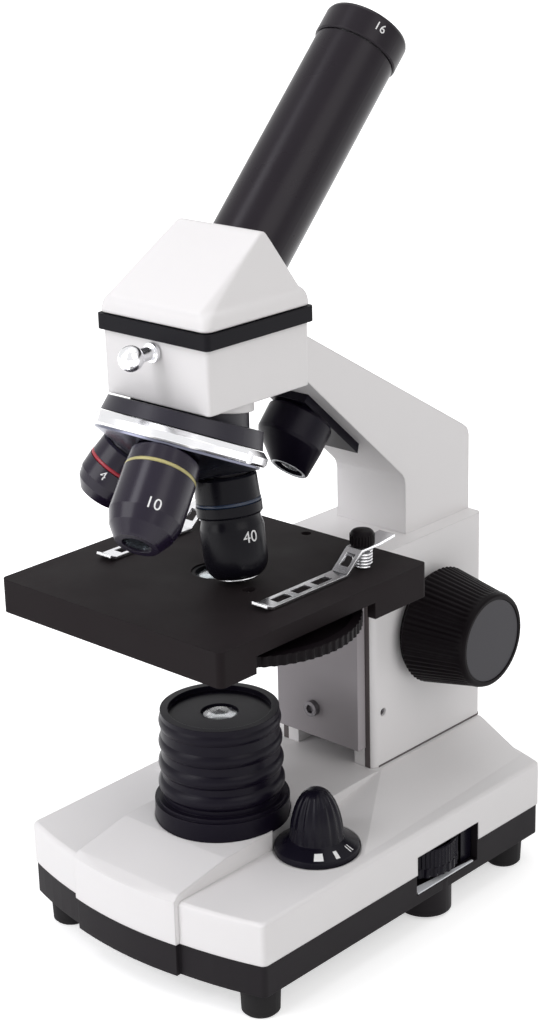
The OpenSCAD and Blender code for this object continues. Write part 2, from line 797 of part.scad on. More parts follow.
module upper_lamp_lens() {
  color(glass) place() at_upper_lamp() translate([0, 0, 0.6]) rotate_extrude($fn = fine)
    polygon([[0, -0.4], [upper_lens_r * 0.6, 0], [upper_lens_r + 0.38, 0.9], [upper_lens_r + 0.38, 1.9], [0, 1.9]]);
}

module lock_screw() {
  color(steel) place() translate([0, -(box_half - 4), screw_z]) rotate([90, 0, 0]) {
    cylinder(r = 2, h = 10, $fn = 48);
    translate([0, 0, 4.4]) cylinder(r = 2.9, h = 1.2, $fn = 48);
    translate([0, 0, 13]) sphere(r = 3.7, $fn = 64);
  }
}

module stage_plate() {
  color(black) place() difference() {
    translate([0, 0, skirt_z]) linear_extrude(skirt_h) round_rect(stage_w, stage_d, 2);
    translate([0, 0, skirt_z - 1]) linear_extrude(skirt_h - stage_t + 1)
      round_rect(stage_w - 2 * skirt_wall, stage_d - 2 * skirt_wall, 1.5);
    cylinder(r = stage_hole_r, h = 200, $fn = fine);
    translate([0, stage_d / 2 - 3.6, plate_z - 1]) cylinder(r = 1.6, h = 20, $fn = 32);
    for (p = stage_bolts) {
      translate([p[0], p[1], plate_z - 1]) cylinder(r = 1.6, h = stage_t, $fn = 32);
    }
    for (s = [-1, 1]) {
      translate([s * clip_x, clip_y, plate_z - 1]) cylinder(r = 1.5, h = 20, $fn = 32);
    }
    translate([wheel_x, wheel_y, plate_z - 1]) cylinder(r = 2, h = 20, $fn = 32);
    // Window in the right skirt for the diaphragm wheel
    translate([half_w - skirt_wall - 1, wheel_y - wheel_chord - 1.5, skirt_z - 1])
      cube([skirt_wall + 5, 2 * wheel_chord + 3, 6.2]);
    // Window in the back skirt for the slide's flange
    translate([-plate_half - 0.3, half_d - skirt_wall - 1, skirt_z - 1])
      cube([2 * plate_half + 0.6, skirt_wall + 5, plate_z - skirt_z + 1]);
  }
}

wheel_chord = sqrt(pow(wheel_r + 0.5, 2) - pow(half_w - skirt_wall - wheel_x, 2));
stage_bolts = [[-11, 33], [11, 33]];

module stage_slide() {
  color(white) place() difference() {
    union() {
      translate([-plate_half, plate_front_y, slide_bottom])
        cube([2 * plate_half, plate_back_y - plate_front_y, plate_z - slide_bottom]);
      translate([-bar_half, plate_back_y, slide_bottom])
        cube([2 * bar_half, bar_back_y - plate_back_y, slide_bar_top - 1.2 - slide_bottom]);
      translate([-plate_half, 18, plate_z - flange_t])
        cube([2 * plate_half, plate_front_y - 18 + 0.5, flange_t]);
    }
    for (s = [-1, 1]) {
      translate([s > 0 ? bar_half - rail_in + 0.1 : -bar_half - 1, rail_y - rail_d / 2 - gap, slide_bottom - 1])
        cube([rail_in + 0.9, rail_d + 2 * gap, slide_bar_top]);
    }
    for (p = stage_bolts) {
      translate([p[0], p[1], plate_z - 10]) cylinder(r = 1.6, h = 20, $fn = 32);
    }
    translate([0, stage_d / 2 - 3.6, plate_z - 6]) cylinder(r = 2.2, h = 10, $fn = 32);
    translate([-1.5, plate_front_y - 1, slide_bottom + 10]) rotate([-90, 0, 0])
      cylinder(r = 1.6, h = 8, $fn = 32);
  }
}

// Rack: teeth of straight flanks, with one tooth level with the shaft
module focus_rack() {
  pitch = PI * gear_m;
  count = 13;
  half = pitch / 4 - 0.1;
  lean = tan(20);
  color(brass) place() translate([-4, 0, shaft_z]) rotate([90, 0, 90]) linear_extrude(8) {
    translate([bar_back_y, -pitch * (count + 1) / 2]) square([rack_back, pitch * (count + 1)]);
    for (i = [-(count - 1) / 2 : (count - 1) / 2]) {
      translate([pitch_line_y, i * pitch]) polygon([
        [-1.3 * gear_m, -half - 1.3 * gear_m * lean], [gear_m, -half + gear_m * lean],
        [gear_m, half - gear_m * lean], [-1.3 * gear_m, half + 1.3 * gear_m * lean]]);
    }
  }
}

module stage_screws() {
  color(steel) place() {
    for (p = stage_bolts) {
      translate([p[0], p[1], plate_z - flange_t - 1.35]) {
        difference() {
          cylinder(r = 2.8, h = 1.3, $fn = 32);
          translate([-4, -0.4, -1]) cube([8, 0.8, 1.6]);
        }
        translate([0, 0, 1]) cylinder(r = 1.5, h = flange_t + stage_t - 1.2, $fn = 32);
      }
    }
    // Stop screw in the front of the slide, with a hexagon socket
    translate([-1.5, plate_front_y - 0.05, slide_bottom + 10]) rotate([90, 0, 0]) difference() {
      union() {
        cylinder(r = 2.6, h = 2, $fn = 48);
        translate([0, 0, -5]) cylinder(r = 1.5, h = 5.5, $fn = 32);
      }
      translate([0, 0, 0.8]) cylinder(r = 1.5, h = 3, $fn = 6);
    }
  }
}

module condenser_mount() {
  color(soft_black) place() difference() {
    union() {
      translate([0, 0, plate_z - 2.6]) cylinder(r = condenser_r, h = 2.6 - 0.02, $fn = fine);
      translate([0, 0, plate_z - 1]) cylinder(r = stage_hole_r - 0.05, h = stage_t + 0.6, $fn = fine);
    }
    translate([0, 0, plate_z - 5]) cylinder(r = 4.6, h = 20, $fn = fine);
    translate([0, 0, plate_z]) cylinder(r = 5.8, h = 20, $fn = fine);
  }
}

module condenser_lens() {
  color(glass) place() translate([0, 0, plate_z + 0.02]) rotate_extrude($fn = fine)
    polygon([[0, 0], [5.75, 0], [5.75, 1.6], [4.6, 2.3], [2.4, 2.9], [0, 3.1]]);
}

module clip_posts() {
  color(steel) place() for (s = [-1, 1]) {
    translate([s * clip_x, clip_y, plate_z + 0.5]) {
      cylinder(r = 1.45, h = stage_t + clip_rise + 4, $fn = 32);
    }
  }
}

clip_top = stage_top + clip_rise + clip_blade_t;

module clip_caps() {
  color(black) place() for (s = [-1, 1]) {
    translate([s * clip_x, clip_y, clip_top + gap]) difference() {
      union() {
        linear_extrude(3.9) flutes(3.8, 0.35, 16);
        translate([0, 0, 3.9]) cylinder(r1 = 3.4, r2 = 3, h = 0.7, $fn = 48);
      }
      translate([0, 0, -1]) cylinder(r = 1.47, h = 4.5, $fn = 32);
    }
  }
}

// A round wire wound on a helix, swept as one closed skin
module coil(r, wire, h, turns) {
  steps = 12 * turns;
  sides = 6;
  points = [for (i = [0 : steps]) for (j = [0 : sides - 1])
    let (a = i * 30, b = j * 360 / sides, q = r + wire * cos(b))
    [q * cos(a), q * sin(a), wire + (h - 2 * wire) * i / steps + wire * sin(b)]];
  sides_faces = [for (i = [0 : steps - 1]) for (j = [0 : sides - 1])
    [i * sides + j, (i + 1) * sides + j, (i + 1) * sides + (j + 1) % sides, i * sides + (j + 1) % sides]];
  first = [[for (j = [0 : sides - 1]) j]];
  last = [[for (j = [0 : sides - 1]) steps * sides + sides - 1 - j]];
  polyhedron(points, concat(sides_faces, first, last), convexity = 6);
}

module clip_springs() {
  color(steel) place() for (s = [-1, 1]) {
    translate([s * clip_x, clip_y, stage_top + 0.1]) coil(2.7, 0.4, clip_rise - gap - 0.1, 5);
  }
}

module diaphragm_pivot() {
  color(steel) place() translate([wheel_x, wheel_y, wheel_z - 0.3]) {
    translate([0, 0, -1.4]) cylinder(r = 4, h = 1.4, $fn = 48);
    cylinder(r = 1.9, h = plate_z - wheel_z + 2.3, $fn = 48);
    translate([0, 0, wheel_t + 0.6]) cylinder(r = 4, h = plate_z - wheel_z - wheel_t - 0.6 + 0.28, $fn = 48);
  }
}

module focus_shaft() {
  color(steel) place() translate([-knob_x - knob_l + 5, shaft_y, shaft_z]) rotate([0, 90, 0])
    cylinder(r = shaft_r, h = 2 * (knob_x + knob_l - 5), $fn = 64);
}

// Point of an involute of the base circle rb, at roll angle a
function involute(rb, a) = [rb * (cos(a) + a * PI / 180 * sin(a)), rb * (sin(a) - a * PI / 180 * cos(a))];

module pinion_shape() {
  rb = pitch_r * cos(20);
  root = pitch_r - 1.25 * gear_m;
  tip_roll = sqrt(pow((pitch_r + gear_m) / rb, 2) - 1) * 180 / PI;
  pitch_roll = sqrt(pow(pitch_r / rb, 2) - 1) * 180 / PI;
  pitch_angle = pitch_roll - 20;
  half = 90 / pinion_teeth - 1.0 + pitch_angle;
  circle(r = root, $fn = 48);
  for (k = [0 : pinion_teeth - 1]) {
    rotate([0, 0, (k + 0.5) * 360 / pinion_teeth]) polygon(concat(
      [[0, 0]],
      [for (i = [0 : 5]) let (p = involute(rb, i * tip_roll / 5)) turn_point(p, -half)],
      [for (i = [5 : -1 : 0]) let (p = involute(rb, i * tip_roll / 5)) turn_point([p[0], -p[1]], half)]));
  }
}

function turn_point(p, a) = [p[0] * cos(a) - p[1] * sin(a), p[0] * sin(a) + p[1] * cos(a)];

module focus_pinion() {
  color(brass) place() translate([-4.5, shaft_y, shaft_z]) rotate([90, 0, 90]) linear_extrude(9) difference() {
    pinion_shape();
    circle(r = shaft_r + 0.01, $fn = 64);
  }
}

// A tapered fluted knob on +X, with a plain collar and a hollow for its cap
module focus_knob() {
  translate([knob_x, shaft_y, shaft_z]) rotate([0, 90, 0]) difference() {
    union() {
      cylinder(r = knob_r - 1.2, h = 1.6, $fn = fine);
      translate([0, 0, 1.5]) linear_extrude(knob_l - 2.5, scale = (knob_end_r + 0.2) / knob_r) flutes(knob_r, 0.5, 36);
      translate([0, 0, knob_l - 2.4]) cylinder(r1 = knob_end_r - 0.1, r2 = knob_end_r - 0.9, h = 2.4, $fn = fine);
    }
    translate([0, 0, -1]) cylinder(r = shaft_r + 0.01, h = knob_l - 4, $fn = 64);
    translate([0, 0, knob_l - 1.2]) cylinder(r = knob_end_r - 2, h = 2, $fn = fine);
  }
}

module focus_knob_right() {
  color(soft_black) place() focus_knob();
}

module focus_knob_left() {
  color(soft_black) place() mirror([1, 0, 0]) focus_knob();
}

module knob_caps() {
  color([0.35, 0.35, 0.36]) place() for (s = [-1, 1]) {
    translate([s * (knob_x + knob_l - 1.2), shaft_y, shaft_z]) rotate([0, s * 90, 0])
      cylinder(r = knob_end_r - 2.05, h = 0.9, $fn = fine);
  }
}

// Spring clip about its post: slotted foot on the stage, ramp, then a finger tab behind
module clip() {
  z0 = stage_top + gap;
  z1 = clip_top - clip_blade_t;
  t = clip_blade_t;
  difference() {
    extrude_x(clip_w) polygon([[-clip_l - 1, z0 + 1], [-clip_l + 1.4, z0], [-10, z0], [-3.2, z1], [4.4, z1],
      [11.5, z1 + 0.8], [11.5, z1 + 0.8 + t], [4.2, z1 + t], [-3.5, z1 + t], [-10.3, z0 + t],
      [-clip_l + 1.6, z0 + t], [-clip_l - 0.8, z0 + 1 + t]]);
    translate([0, 0, z1 - 3]) cylinder(r = 1.7, h = 8, $fn = 32);
    for (i = [0 : 2]) {
      translate([-clip_w / 2 + 1.3, -clip_l + 5 + i * 8.6, z0 - 1]) cube([clip_w - 2.6, 6.4, 4]);
    }
    translate([-clip_w / 2 + 1.3, -8.4, z0]) cube([clip_w - 2.6, 3.4, clip_rise + 2]);
  }
}

module clip_left() {
  color(steel) place() translate([-clip_x, clip_y, 0]) clip();
}

module clip_right() {
  color(steel) place() translate([clip_x, clip_y, 0]) clip();
}

// Disc with a milled edge and six apertures, one of them on the optical axis
module diaphragm_wheel() {
  reach = sqrt(wheel_x * wheel_x + wheel_y * wheel_y);
  start = atan2(-wheel_y, -wheel_x);
  sizes = [5.4, 4.4, 3.4, 2.5, 1.6, 0.8];
  color(soft_black) place() translate([wheel_x, wheel_y, wheel_z]) difference() {
    linear_extrude(wheel_t) flutes(wheel_r, 0.4, 72);
    translate([0, 0, wheel_t - 1.2]) cylinder(r = wheel_r - 3, h = 5, $fn = fine);
    translate([0, 0, -1]) cylinder(r = 2, h = 20, $fn = 48);
    for (i = [0 : 5]) {
      rotate([0, 0, start + i * 60]) translate([reach, 0, -1]) cylinder(r = sizes[i], h = 20, $fn = 48);
    }
  }
}

module nosepiece_cup() {
  outer = rim_r - 3;
  color(satin) place() at_nose() difference() {
    rotate_extrude($fn = fine) polygon([[5.4, -cone_a(5.4)], [rim_r - 1.6, -cone_a(rim_r - 1.6)],
      [rim_r - 1.6, -rim_a1 - 0.05], [outer, -rim_a1 - 0.05], [outer, -cup_a0 - 0.6], [outer - 1.4, -cup_a0],
      [outer - 3, -cup_a0], [outer - 3, -rim_a1 + 0.5], [pivot_r + 5, 3.6 - cone_a(5.4)],
      [pivot_r + 0.08, 3.6 - cone_a(5.4)], [pivot_r + 0.08, -cone_a(5.4)]]);
    for (i = [0 : 2]) {
      rotate([0, 0, -nose_rest - i * 120]) rotate([nose_tilt, 0, 0])
        translate([0, 0, -seat_s - 5]) cylinder(r = thread_r, h = 20, $fn = 64);
    }
  }
}

module nosepiece_rim() {
  color(steel) place() at_nose() difference() {
    rotate_extrude($fn = fine) polygon([[rim_r - 2.95, -cup_a0], [nose_plate_r + 0.4, -cup_a0],
      [rim_r, -cup_a0 - 1.6], [rim_r, -rim_a1 + 0.6], [rim_r - 0.5, -rim_a1], [rim_r - 2.95, -rim_a1]]);
    for (i = [0 : 2]) {
      rotate([0, 0, -nose_rest - i * 120 - 60]) translate([0, rim_r + 0.4, -rim_a1 - 1])
        cylinder(r = 1.3, h = 12, $fn = 32);
    }
  }
}

// A barrel with a threaded stub, a groove for its colour ring and a tapered nose
module barrel(r, groove_s, shoulder_s, end_s, end_r) {
  rotate_extrude($fn = fine) polygon([[4.2, -seat_s + 3.4], [thread_r - 0.06, -seat_s + 3.4], [thread_r - 0.06, -seat_s],
    [r - 1.2, -seat_s - 0.02], [r - 0.5, -seat_s - 0.7], [r - 0.2, -groove_s + 0.6],
    [r - 0.6, -groove_s + 0.6], [r - 0.6, -groove_s - 0.6], [r, -groove_s - 0.6], [r, -shoulder_s],
    [(r + end_r) / 2 + 0.5, -(shoulder_s + end_s) / 2], [end_r, -end_s + 0.6], [end_r - 0.5, -end_s], [4.2, -end_s]]);
}

module objective_4() {
  color(black) place() at_objective(nose_rest + 240) barrel(short_r, 45.8, short_tip - 6, short_tip, 6.6);
}

module objective_10() {
  color(black) place() at_objective(nose_rest + 120) barrel(barrel_r, 45.2, middle_tip - 8, middle_tip, middle_r);
}

long_step = 51.5;

module objective_40() {
  color(black) place() at_objective(nose_rest) difference() {
    barrel(long_r, 47.5, long_step - 0.6, long_step, long_r);
    translate([0, 0, -long_step - 1]) cylinder(r = long_r - 0.8, h = 6.2, $fn = fine);
  }
}

// Spring-loaded front of the long objective, which gives way if it touches a slide
module objective_40_nose() {
  r = long_r - 0.8 - fit;
  color(soft_black) place() at_objective(nose_rest) rotate_extrude($fn = fine) polygon([
    [4, -long_step + 3.2], [r, -long_step + 3.2], [r, -long_step - 0.4], [r + 0.25, -long_tip + 8.4],
    [6.4, -long_tip + 1.4], [5.2, -long_tip + 1.2], [4.8, -long_tip], [2.6, -long_tip],
    [1.8, -long_tip + 0.5], [1.8, -long_tip + 2], [4, -long_tip + 4]]);
}

module objective_lenses() {
  color(glass) place() {
    at_objective(nose_rest + 240) translate([0, 0, -short_tip + 0.8]) cylinder(r = 4.15, h = 2, $fn = 48);
    at_objective(nose_rest + 120) translate([0, 0, -middle_tip + 0.8]) cylinder(r = 4.15, h = 2, $fn = 48);
    at_objective(nose_rest) translate([0, 0, -seat_s - 2]) cylinder(r = 4.15, h = 2, $fn = 48);
  }
}

// Outline at the foot of the head's slopes, narrower at the front
head_half = head_w / 2 - 1.5;
head_foot = [[3.3 - head_w / 2, -head_half - 0.9], [head_w / 2 - 3.3, -head_half - 0.9], [head_half, 3 - head_half],
  [head_half, head_half - 3], [head_half - 1, head_half - 1], [head_half - 3, head_half],
  [3 - head_half, head_half], [1 - head_half, head_half - 1], [-head_half, head_half - 3], [-head_half, 3 - head_half]];

// The rotating head: a swollen foot, then two slopes that meet at a ridge
module head_housing() {
  back_slope = 90 - tube_tilt;
  color(white) place() difference() {
    union() {
      hull() {
        translate([0, 0, head_bottom]) linear_extrude(1) round_rect(head_w, head_w, 2.5);
        translate([0, 0, head_bottom + 2.6]) linear_extrude(0.4) round_rect(head_w - 0.4, head_w - 0.4, 3);
        translate([0, 0, head_bottom + 4]) linear_extrude(0.3) round_rect(head_w - 1.4, head_w - 1.4, 3);
        translate([0, 0, head_bottom + 5]) linear_extrude(0.1) round_rect(head_w - 2.8, head_w - 2.8, 3);
      }
      hull() {
        translate([0, 0, head_bottom + 4.6]) linear_extrude(0.5) polygon(head_foot);
        translate([-16.5, head_ridge_y - 1, head_ridge_z - 1]) cube([33, 1.6, 1]);
        at_tube(0.3) translate([0, 0, -1]) cylinder(r = tube_r + 2.2, h = 1, $fn = 32);
      }
    }
    translate([0, 0, head_bottom - 1]) cylinder(r = flange_r - 4.9, h = 8, $fn = fine);
    at_tube(-socket_depth) cylinder(r = tube_r + face_gap, h = 30, $fn = fine);
    at_tube(-30) cylinder(r = 8, h = 40, $fn = 64);
    translate([0, 0, head_bottom - 1]) linear_extrude(3.2) circle(r = flange_r + face_gap, $fn = fine);
  }
}

module head_flange() {
  color(soft_black) place() difference() {
    union() {
      translate([0, 0, flange_bottom]) cylinder(r = flange_r, h = 4, $fn = fine);
      translate([0, 0, flange_bottom + 4]) cylinder(r = flange_r - 1.2, h = 5.5, $fn = fine);
      translate([0, 0, flange_bottom + 9.5])
        cylinder(r = flange_r, h = head_bottom + 2.2 - flange_bottom - 9.5, $fn = fine);
    }
    translate([0, 0, flange_bottom - 1]) cylinder(r = 6, h = 40, $fn = 64);
    translate([-8.1, -8.1, flange_bottom + 4]) cube([16.2, 16.2, 40]);
  }
}

module prism() {
  color(glass) place() extrude_x(16) polygon([[-8, flange_bottom + 4.05], [8, flange_bottom + 4.05],
    [8, flange_bottom + 8], [-2, flange_bottom + 17], [-8, flange_bottom + 17]]);
}

module eye_tube() {
  color(black) place() at_tube(-socket_depth + 0.05) difference() {
    cylinder(r = tube_r, h = tube_l + socket_depth - 0.05, $fn = fine);
    translate([0, 0, 3]) cylinder(r = eyepiece_r + fit, h = 200, $fn = fine);
    translate([0, 0, -1]) cylinder(r = 8, h = 10, $fn = 64);
  }
}

eyepiece_in = 23;

module eyepiece_barrel() {
  color(steel) place() at_tube(tube_l + eyepiece_seat - eyepiece_in) difference() {
    cylinder(r = eyepiece_r, h = eyepiece_in + 0.01, $fn = fine);
    translate([0, 0, -1]) cylinder(r = eyepiece_r - 1.2, h = 50, $fn = fine);
  }
}

module eyepiece_cap() {
  color(black) place() at_tube(tube_l + eyepiece_seat + 0.01) rotate_extrude($fn = fine) polygon([
    [eyepiece_r - 1.2, 0], [eyepiece_cap_r - 0.4, 0], [eyepiece_cap_r, 0.4], [eyepiece_cap_r, eyepiece_cap_h - 1.2],
    [eyepiece_cap_r - 0.4, eyepiece_cap_h - 0.3], [eyepiece_cap_r - 1, eyepiece_cap_h], [10.6, eyepiece_cap_h],
    [9.2, eyepiece_cap_h - 2], [8.6, eyepiece_cap_h - 2], [8.6, 3], [eyepiece_r - 1.2, 3]]);
}

module eyepiece_lenses() {
  color(glass) place() {
    at_tube(tube_l + eyepiece_seat + 3.2) rotate_extrude($fn = fine)
      polygon([[0, 0], [8.5, 0], [8.5, 1.6], [6, 2.3], [0, 2.8]]);
    at_tube(tube_l + eyepiece_seat - eyepiece_in + 1) cylinder(r = eyepiece_r - 1.25, h = 3, $fn = fine);
  }
}

// Dial: flat skirt, short cone and a tapered fluted grip, on a spindle through the shell
module light_dial() {
  color(black) place() translate([dial_x, dial_y, dial_z]) union() {
    rotate_extrude($fn = fine) polygon([[0, 0], [dial_r, 0], [dial_r, 1.6], [dial_r - 0.6, 2.2],
      [8.2, 4.6], [0, 4.6]]);
    translate([0, 0, 4.4]) linear_extrude(dial_h - 6.4, scale = 0.62) flutes(7.8, 0.8, 12);
    translate([0, 0, dial_h - 2.1]) cylinder(r1 = 4.2, r2 = 2.8, h = 1.6, $fn = 48);
    translate([0, 0, -9]) cylinder(r = 3, h = 9.2, $fn = 48);
  }
}

module dimmer_wheel() {
  color(soft_black) place() translate([dimmer_x, dimmer_y, dimmer_z]) union() {
    linear_extrude(dimmer_t) flutes(dimmer_r, 0.5, 30);
    translate([0, 0, dimmer_t - 0.1]) cylinder(r = 2, h = 3.5, $fn = 32);
  }
}

base_top_shell();
base_bottom_shell();
base_screws();
rubber_feet();
battery_cover();
batteries();
battery_contacts();
power_inlet();
switch_body();
dimmer_body();
lamp_housing();
lamp_lens();
led_boards();
stand_arm();
slide_rails();
shaft_bushes();
friction_screw();
head_band();
nosepiece_plate();
nosepiece_pivot();
click_spring();
upper_lamp_bracket();
upper_lamp_housing();
upper_lamp_lens();
lock_screw();
stage_plate();
stage_slide();
focus_rack();
stage_screws();
condenser_mount();
condenser_lens();
clip_posts();
clip_caps();
clip_springs();
diaphragm_pivot();
focus_shaft();
focus_pinion();
focus_knob_left();
focus_knob_right();
knob_caps();
clip_left();
clip_right();
diaphragm_wheel();
nosepiece_cup();
nosepiece_rim();
objective_4();
objective_10();
objective_40();
objective_40_nose();
objective_lenses();
head_housing();
head_flange();
prism();
eye_tube();
eyepiece_barrel();
eyepiece_cap();
eyepiece_lenses();
light_dial();
dimmer_wheel();
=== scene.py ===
"""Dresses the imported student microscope: finishes, colour rings, figures, springs, studio and camera."""

import logging
import math
from dataclasses import dataclass, field
from enum import Enum
from typing import Callable, Iterable, Sequence

import bmesh
import bpy
from mathutils import Matrix, Vector


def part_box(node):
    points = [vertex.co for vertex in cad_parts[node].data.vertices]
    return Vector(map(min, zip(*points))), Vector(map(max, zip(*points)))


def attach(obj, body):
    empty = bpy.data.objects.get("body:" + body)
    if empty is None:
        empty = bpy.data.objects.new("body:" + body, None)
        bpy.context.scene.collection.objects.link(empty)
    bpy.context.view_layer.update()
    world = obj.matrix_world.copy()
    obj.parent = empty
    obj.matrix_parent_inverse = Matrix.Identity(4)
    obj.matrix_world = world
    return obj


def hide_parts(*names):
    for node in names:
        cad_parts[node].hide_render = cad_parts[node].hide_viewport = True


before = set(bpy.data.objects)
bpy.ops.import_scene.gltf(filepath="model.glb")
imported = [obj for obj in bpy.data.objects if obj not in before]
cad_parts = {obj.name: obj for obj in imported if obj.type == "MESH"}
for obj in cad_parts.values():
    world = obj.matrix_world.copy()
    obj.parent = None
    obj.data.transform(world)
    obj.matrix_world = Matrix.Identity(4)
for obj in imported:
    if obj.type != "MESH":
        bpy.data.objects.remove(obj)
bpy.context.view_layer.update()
LOG = logging.getLogger("microscope")
Color = tuple[float, float, float]
MM = 0.001
BEVEL_SAMPLES = 4
FLOAT, VECTOR, COLOR = "NodeSocketFloat", "NodeSocketVector", "NodeSocketColor"
GEOMETRY = "NodeSocketGeometry"


def set_inputs(node: bpy.types.Node, **values: object) -> bpy.types.Node:
    """Sets a node's constant inputs and returns it; _ stands for a space in an input's name."""
    for label, value in values.items():
        node.inputs[label.replace("_", " ")].default_value = value
    return node


def add(tree: bpy.types.NodeTree, kind: str, **values: object) -> bpy.types.Node:
    """Adds a node with its constant inputs set, and returns it."""
    return set_inputs(tree.nodes.new(kind), **values)


def link(tree: bpy.types.NodeTree, *wires: tuple) -> None:
    """Links sockets.

    Args:
        tree: the tree that holds the nodes.
        wires: node, output, node and input of each link.
    """
    for source, output, target, slot in wires:
        tree.links.new(source.outputs[output], target.inputs[slot])


def maths(tree: bpy.types.NodeTree, kind: str, a: object, b: object) -> bpy.types.NodeSocket:
    """Adds a Math node.

    Args:
        tree: the tree that takes it.
        kind: the operation.
        a: first value or socket.
        b: second value or socket.

    Returns:
        The node's result socket.
    """
    node = tree.nodes.new("ShaderNodeMath")
    node.operation = kind
    for slot, value in zip(node.inputs, (a, b)):
        if isinstance(value, bpy.types.NodeSocket):
            tree.links.new(value, slot)
        else:
            slot.default_value = value
    return node.outputs[0]


def open_group(name: str, kind: str, inputs: Sequence[tuple[str, str, object]],
               outputs: Sequence[tuple[str, str]]) -> tuple:
    """Starts a node group with named sockets.

    Args:
        name: the group's name.
        kind: the type of its tree.
        inputs: name, socket type and default of each input.
        outputs: name and socket type of each output.

    Returns:
        The tree, its input node and its output node.
    """
    tree = bpy.data.node_groups.new(name, kind)
    for label, socket, value in inputs:
        made = tree.interface.new_socket(label, in_out="INPUT", socket_type=socket)
        if value is not None:
            made.default_value = value
    for label, socket in outputs:
        tree.interface.new_socket(label, in_out="OUTPUT", socket_type=socket)
    return tree, tree.nodes.new("NodeGroupInput"), tree.nodes.new("NodeGroupOutput")


class Grain(Enum):
    """How the fine texture of a finish runs, as the stretch of its coordinates."""

    MOULDED = (1.0, 1.0, 1.0)
    BRUSHED = (1.0, 1.0, 0.04)
    TURNED = (0.12, 0.12, 1.0)


@dataclass(frozen=True)
class Finish:
    """A surface finish, with the values that its material is built from."""

    name: str
    color: Color
    roughness: float
    metallic: float = 0.0
    grain: Grain = Grain.MOULDED
    grain_mm: float = 0.5
    depth_mm: float = 0.006
    mottle: float = 0.1
    wear: float = 0.0
    wear_color: Color = (0.5, 0.5, 0.5)
    dust: float = 0.0
    soft_mm: float = 0.25
    specular: float = 0.5

    def build(self, rack: "NodeRack") -> bpy.types.Material:
        """Builds the material.

        Args:
            rack: the shared node groups.

        Returns:
            The finished material.
        """
        mat = bpy.data.materials.new(self.name)
        mat.use_nodes = True
        tree = mat.node_tree
        tree.nodes.clear()
        out = add(tree, "ShaderNodeOutputMaterial")
        shader = add(tree, "ShaderNodeBsdfPrincipled", Metallic=self.metallic, Coat_Roughness=0.12,
                     Specular_IOR_Level=self.specular)
        place = add(tree, "ShaderNodeTexCoord")
        turn = add(tree, "ShaderNodeMapping", Scale=self.grain.value)
        grain = rack.place(tree, rack.grain, Size=1000.0 / self.grain_mm)
        tone = rack.place(tree, rack.tone, Color=(*self.color, 1.0), Mottle=self.mottle, Roughness=self.roughness,
                          Worn_Color=(*self.wear_color, 1.0), Dust=self.dust)
        bump = add(tree, "ShaderNodeBump", Strength=0.6, Distance=self.depth_mm * MM)
        link(tree, (place, "Object", turn, "Vector"), (turn, "Vector", grain, "Vector"),
             (grain, "Cloud", tone, "Cloud"), (grain, "Height", bump, "Height"), (tone, "Color", shader, "Base Color"),
             (tone, "Roughness", shader, "Roughness"), (bump, "Normal", shader, "Normal"), (shader, 0, out, "Surface"))
        if self.wear > 0.0:
            wear = rack.place(tree, rack.wear, Amount=self.wear)
            link(tree, (grain, "Cloud", wear, "Cloud"), (wear, "Mask", tone, "Wear"))
        if self.dust > 0.0:
            dust = rack.place(tree, rack.dust)
            link(tree, (place, "Object", dust, "Vector"), (dust, "Mask", tone, "Dust Mask"))
        if self.soft_mm > 0.0:
            soft = add(tree, "ShaderNodeBevel", Radius=self.soft_mm * MM)
            soft.samples = BEVEL_SAMPLES
            link(tree, (soft, "Normal", bump, "Normal"))
        return mat


@dataclass(frozen=True)
class GlassFinish:
    """A coated lens: clear glass with a colour cast in its gloss; in the objectives' glass the dark tint is painted
    shade for the recess behind the lens.
    """

    name: str
    color: Color
    roughness: float = 0.03

    def build(self, rack: "NodeRack") -> bpy.types.Material:
        """Builds the glass.

        Args:
            rack: the shared node groups.

        Returns:
            The finished material.
        """
        mat = bpy.data.materials.new(self.name)
        mat.use_nodes = True
        tree = mat.node_tree
        shader = set_inputs(tree.nodes["Principled BSDF"], Transmission_Weight=0.85, IOR=1.52, Coat_Weight=0.4,
                            Coat_Roughness=0.02)
        place = add(tree, "ShaderNodeTexCoord")
        grain = rack.place(tree, rack.grain, Size=400.0)
        tone = rack.place(tree, rack.tone, Color=(*self.color, 1.0), Mottle=0.02, Roughness=self.roughness)
        link(tree, (place, "Object", grain, "Vector"), (grain, "Cloud", tone, "Cloud"),
             (tone, "Color", shader, "Base Color"), (tone, "Roughness", shader, "Roughness"))
        return mat


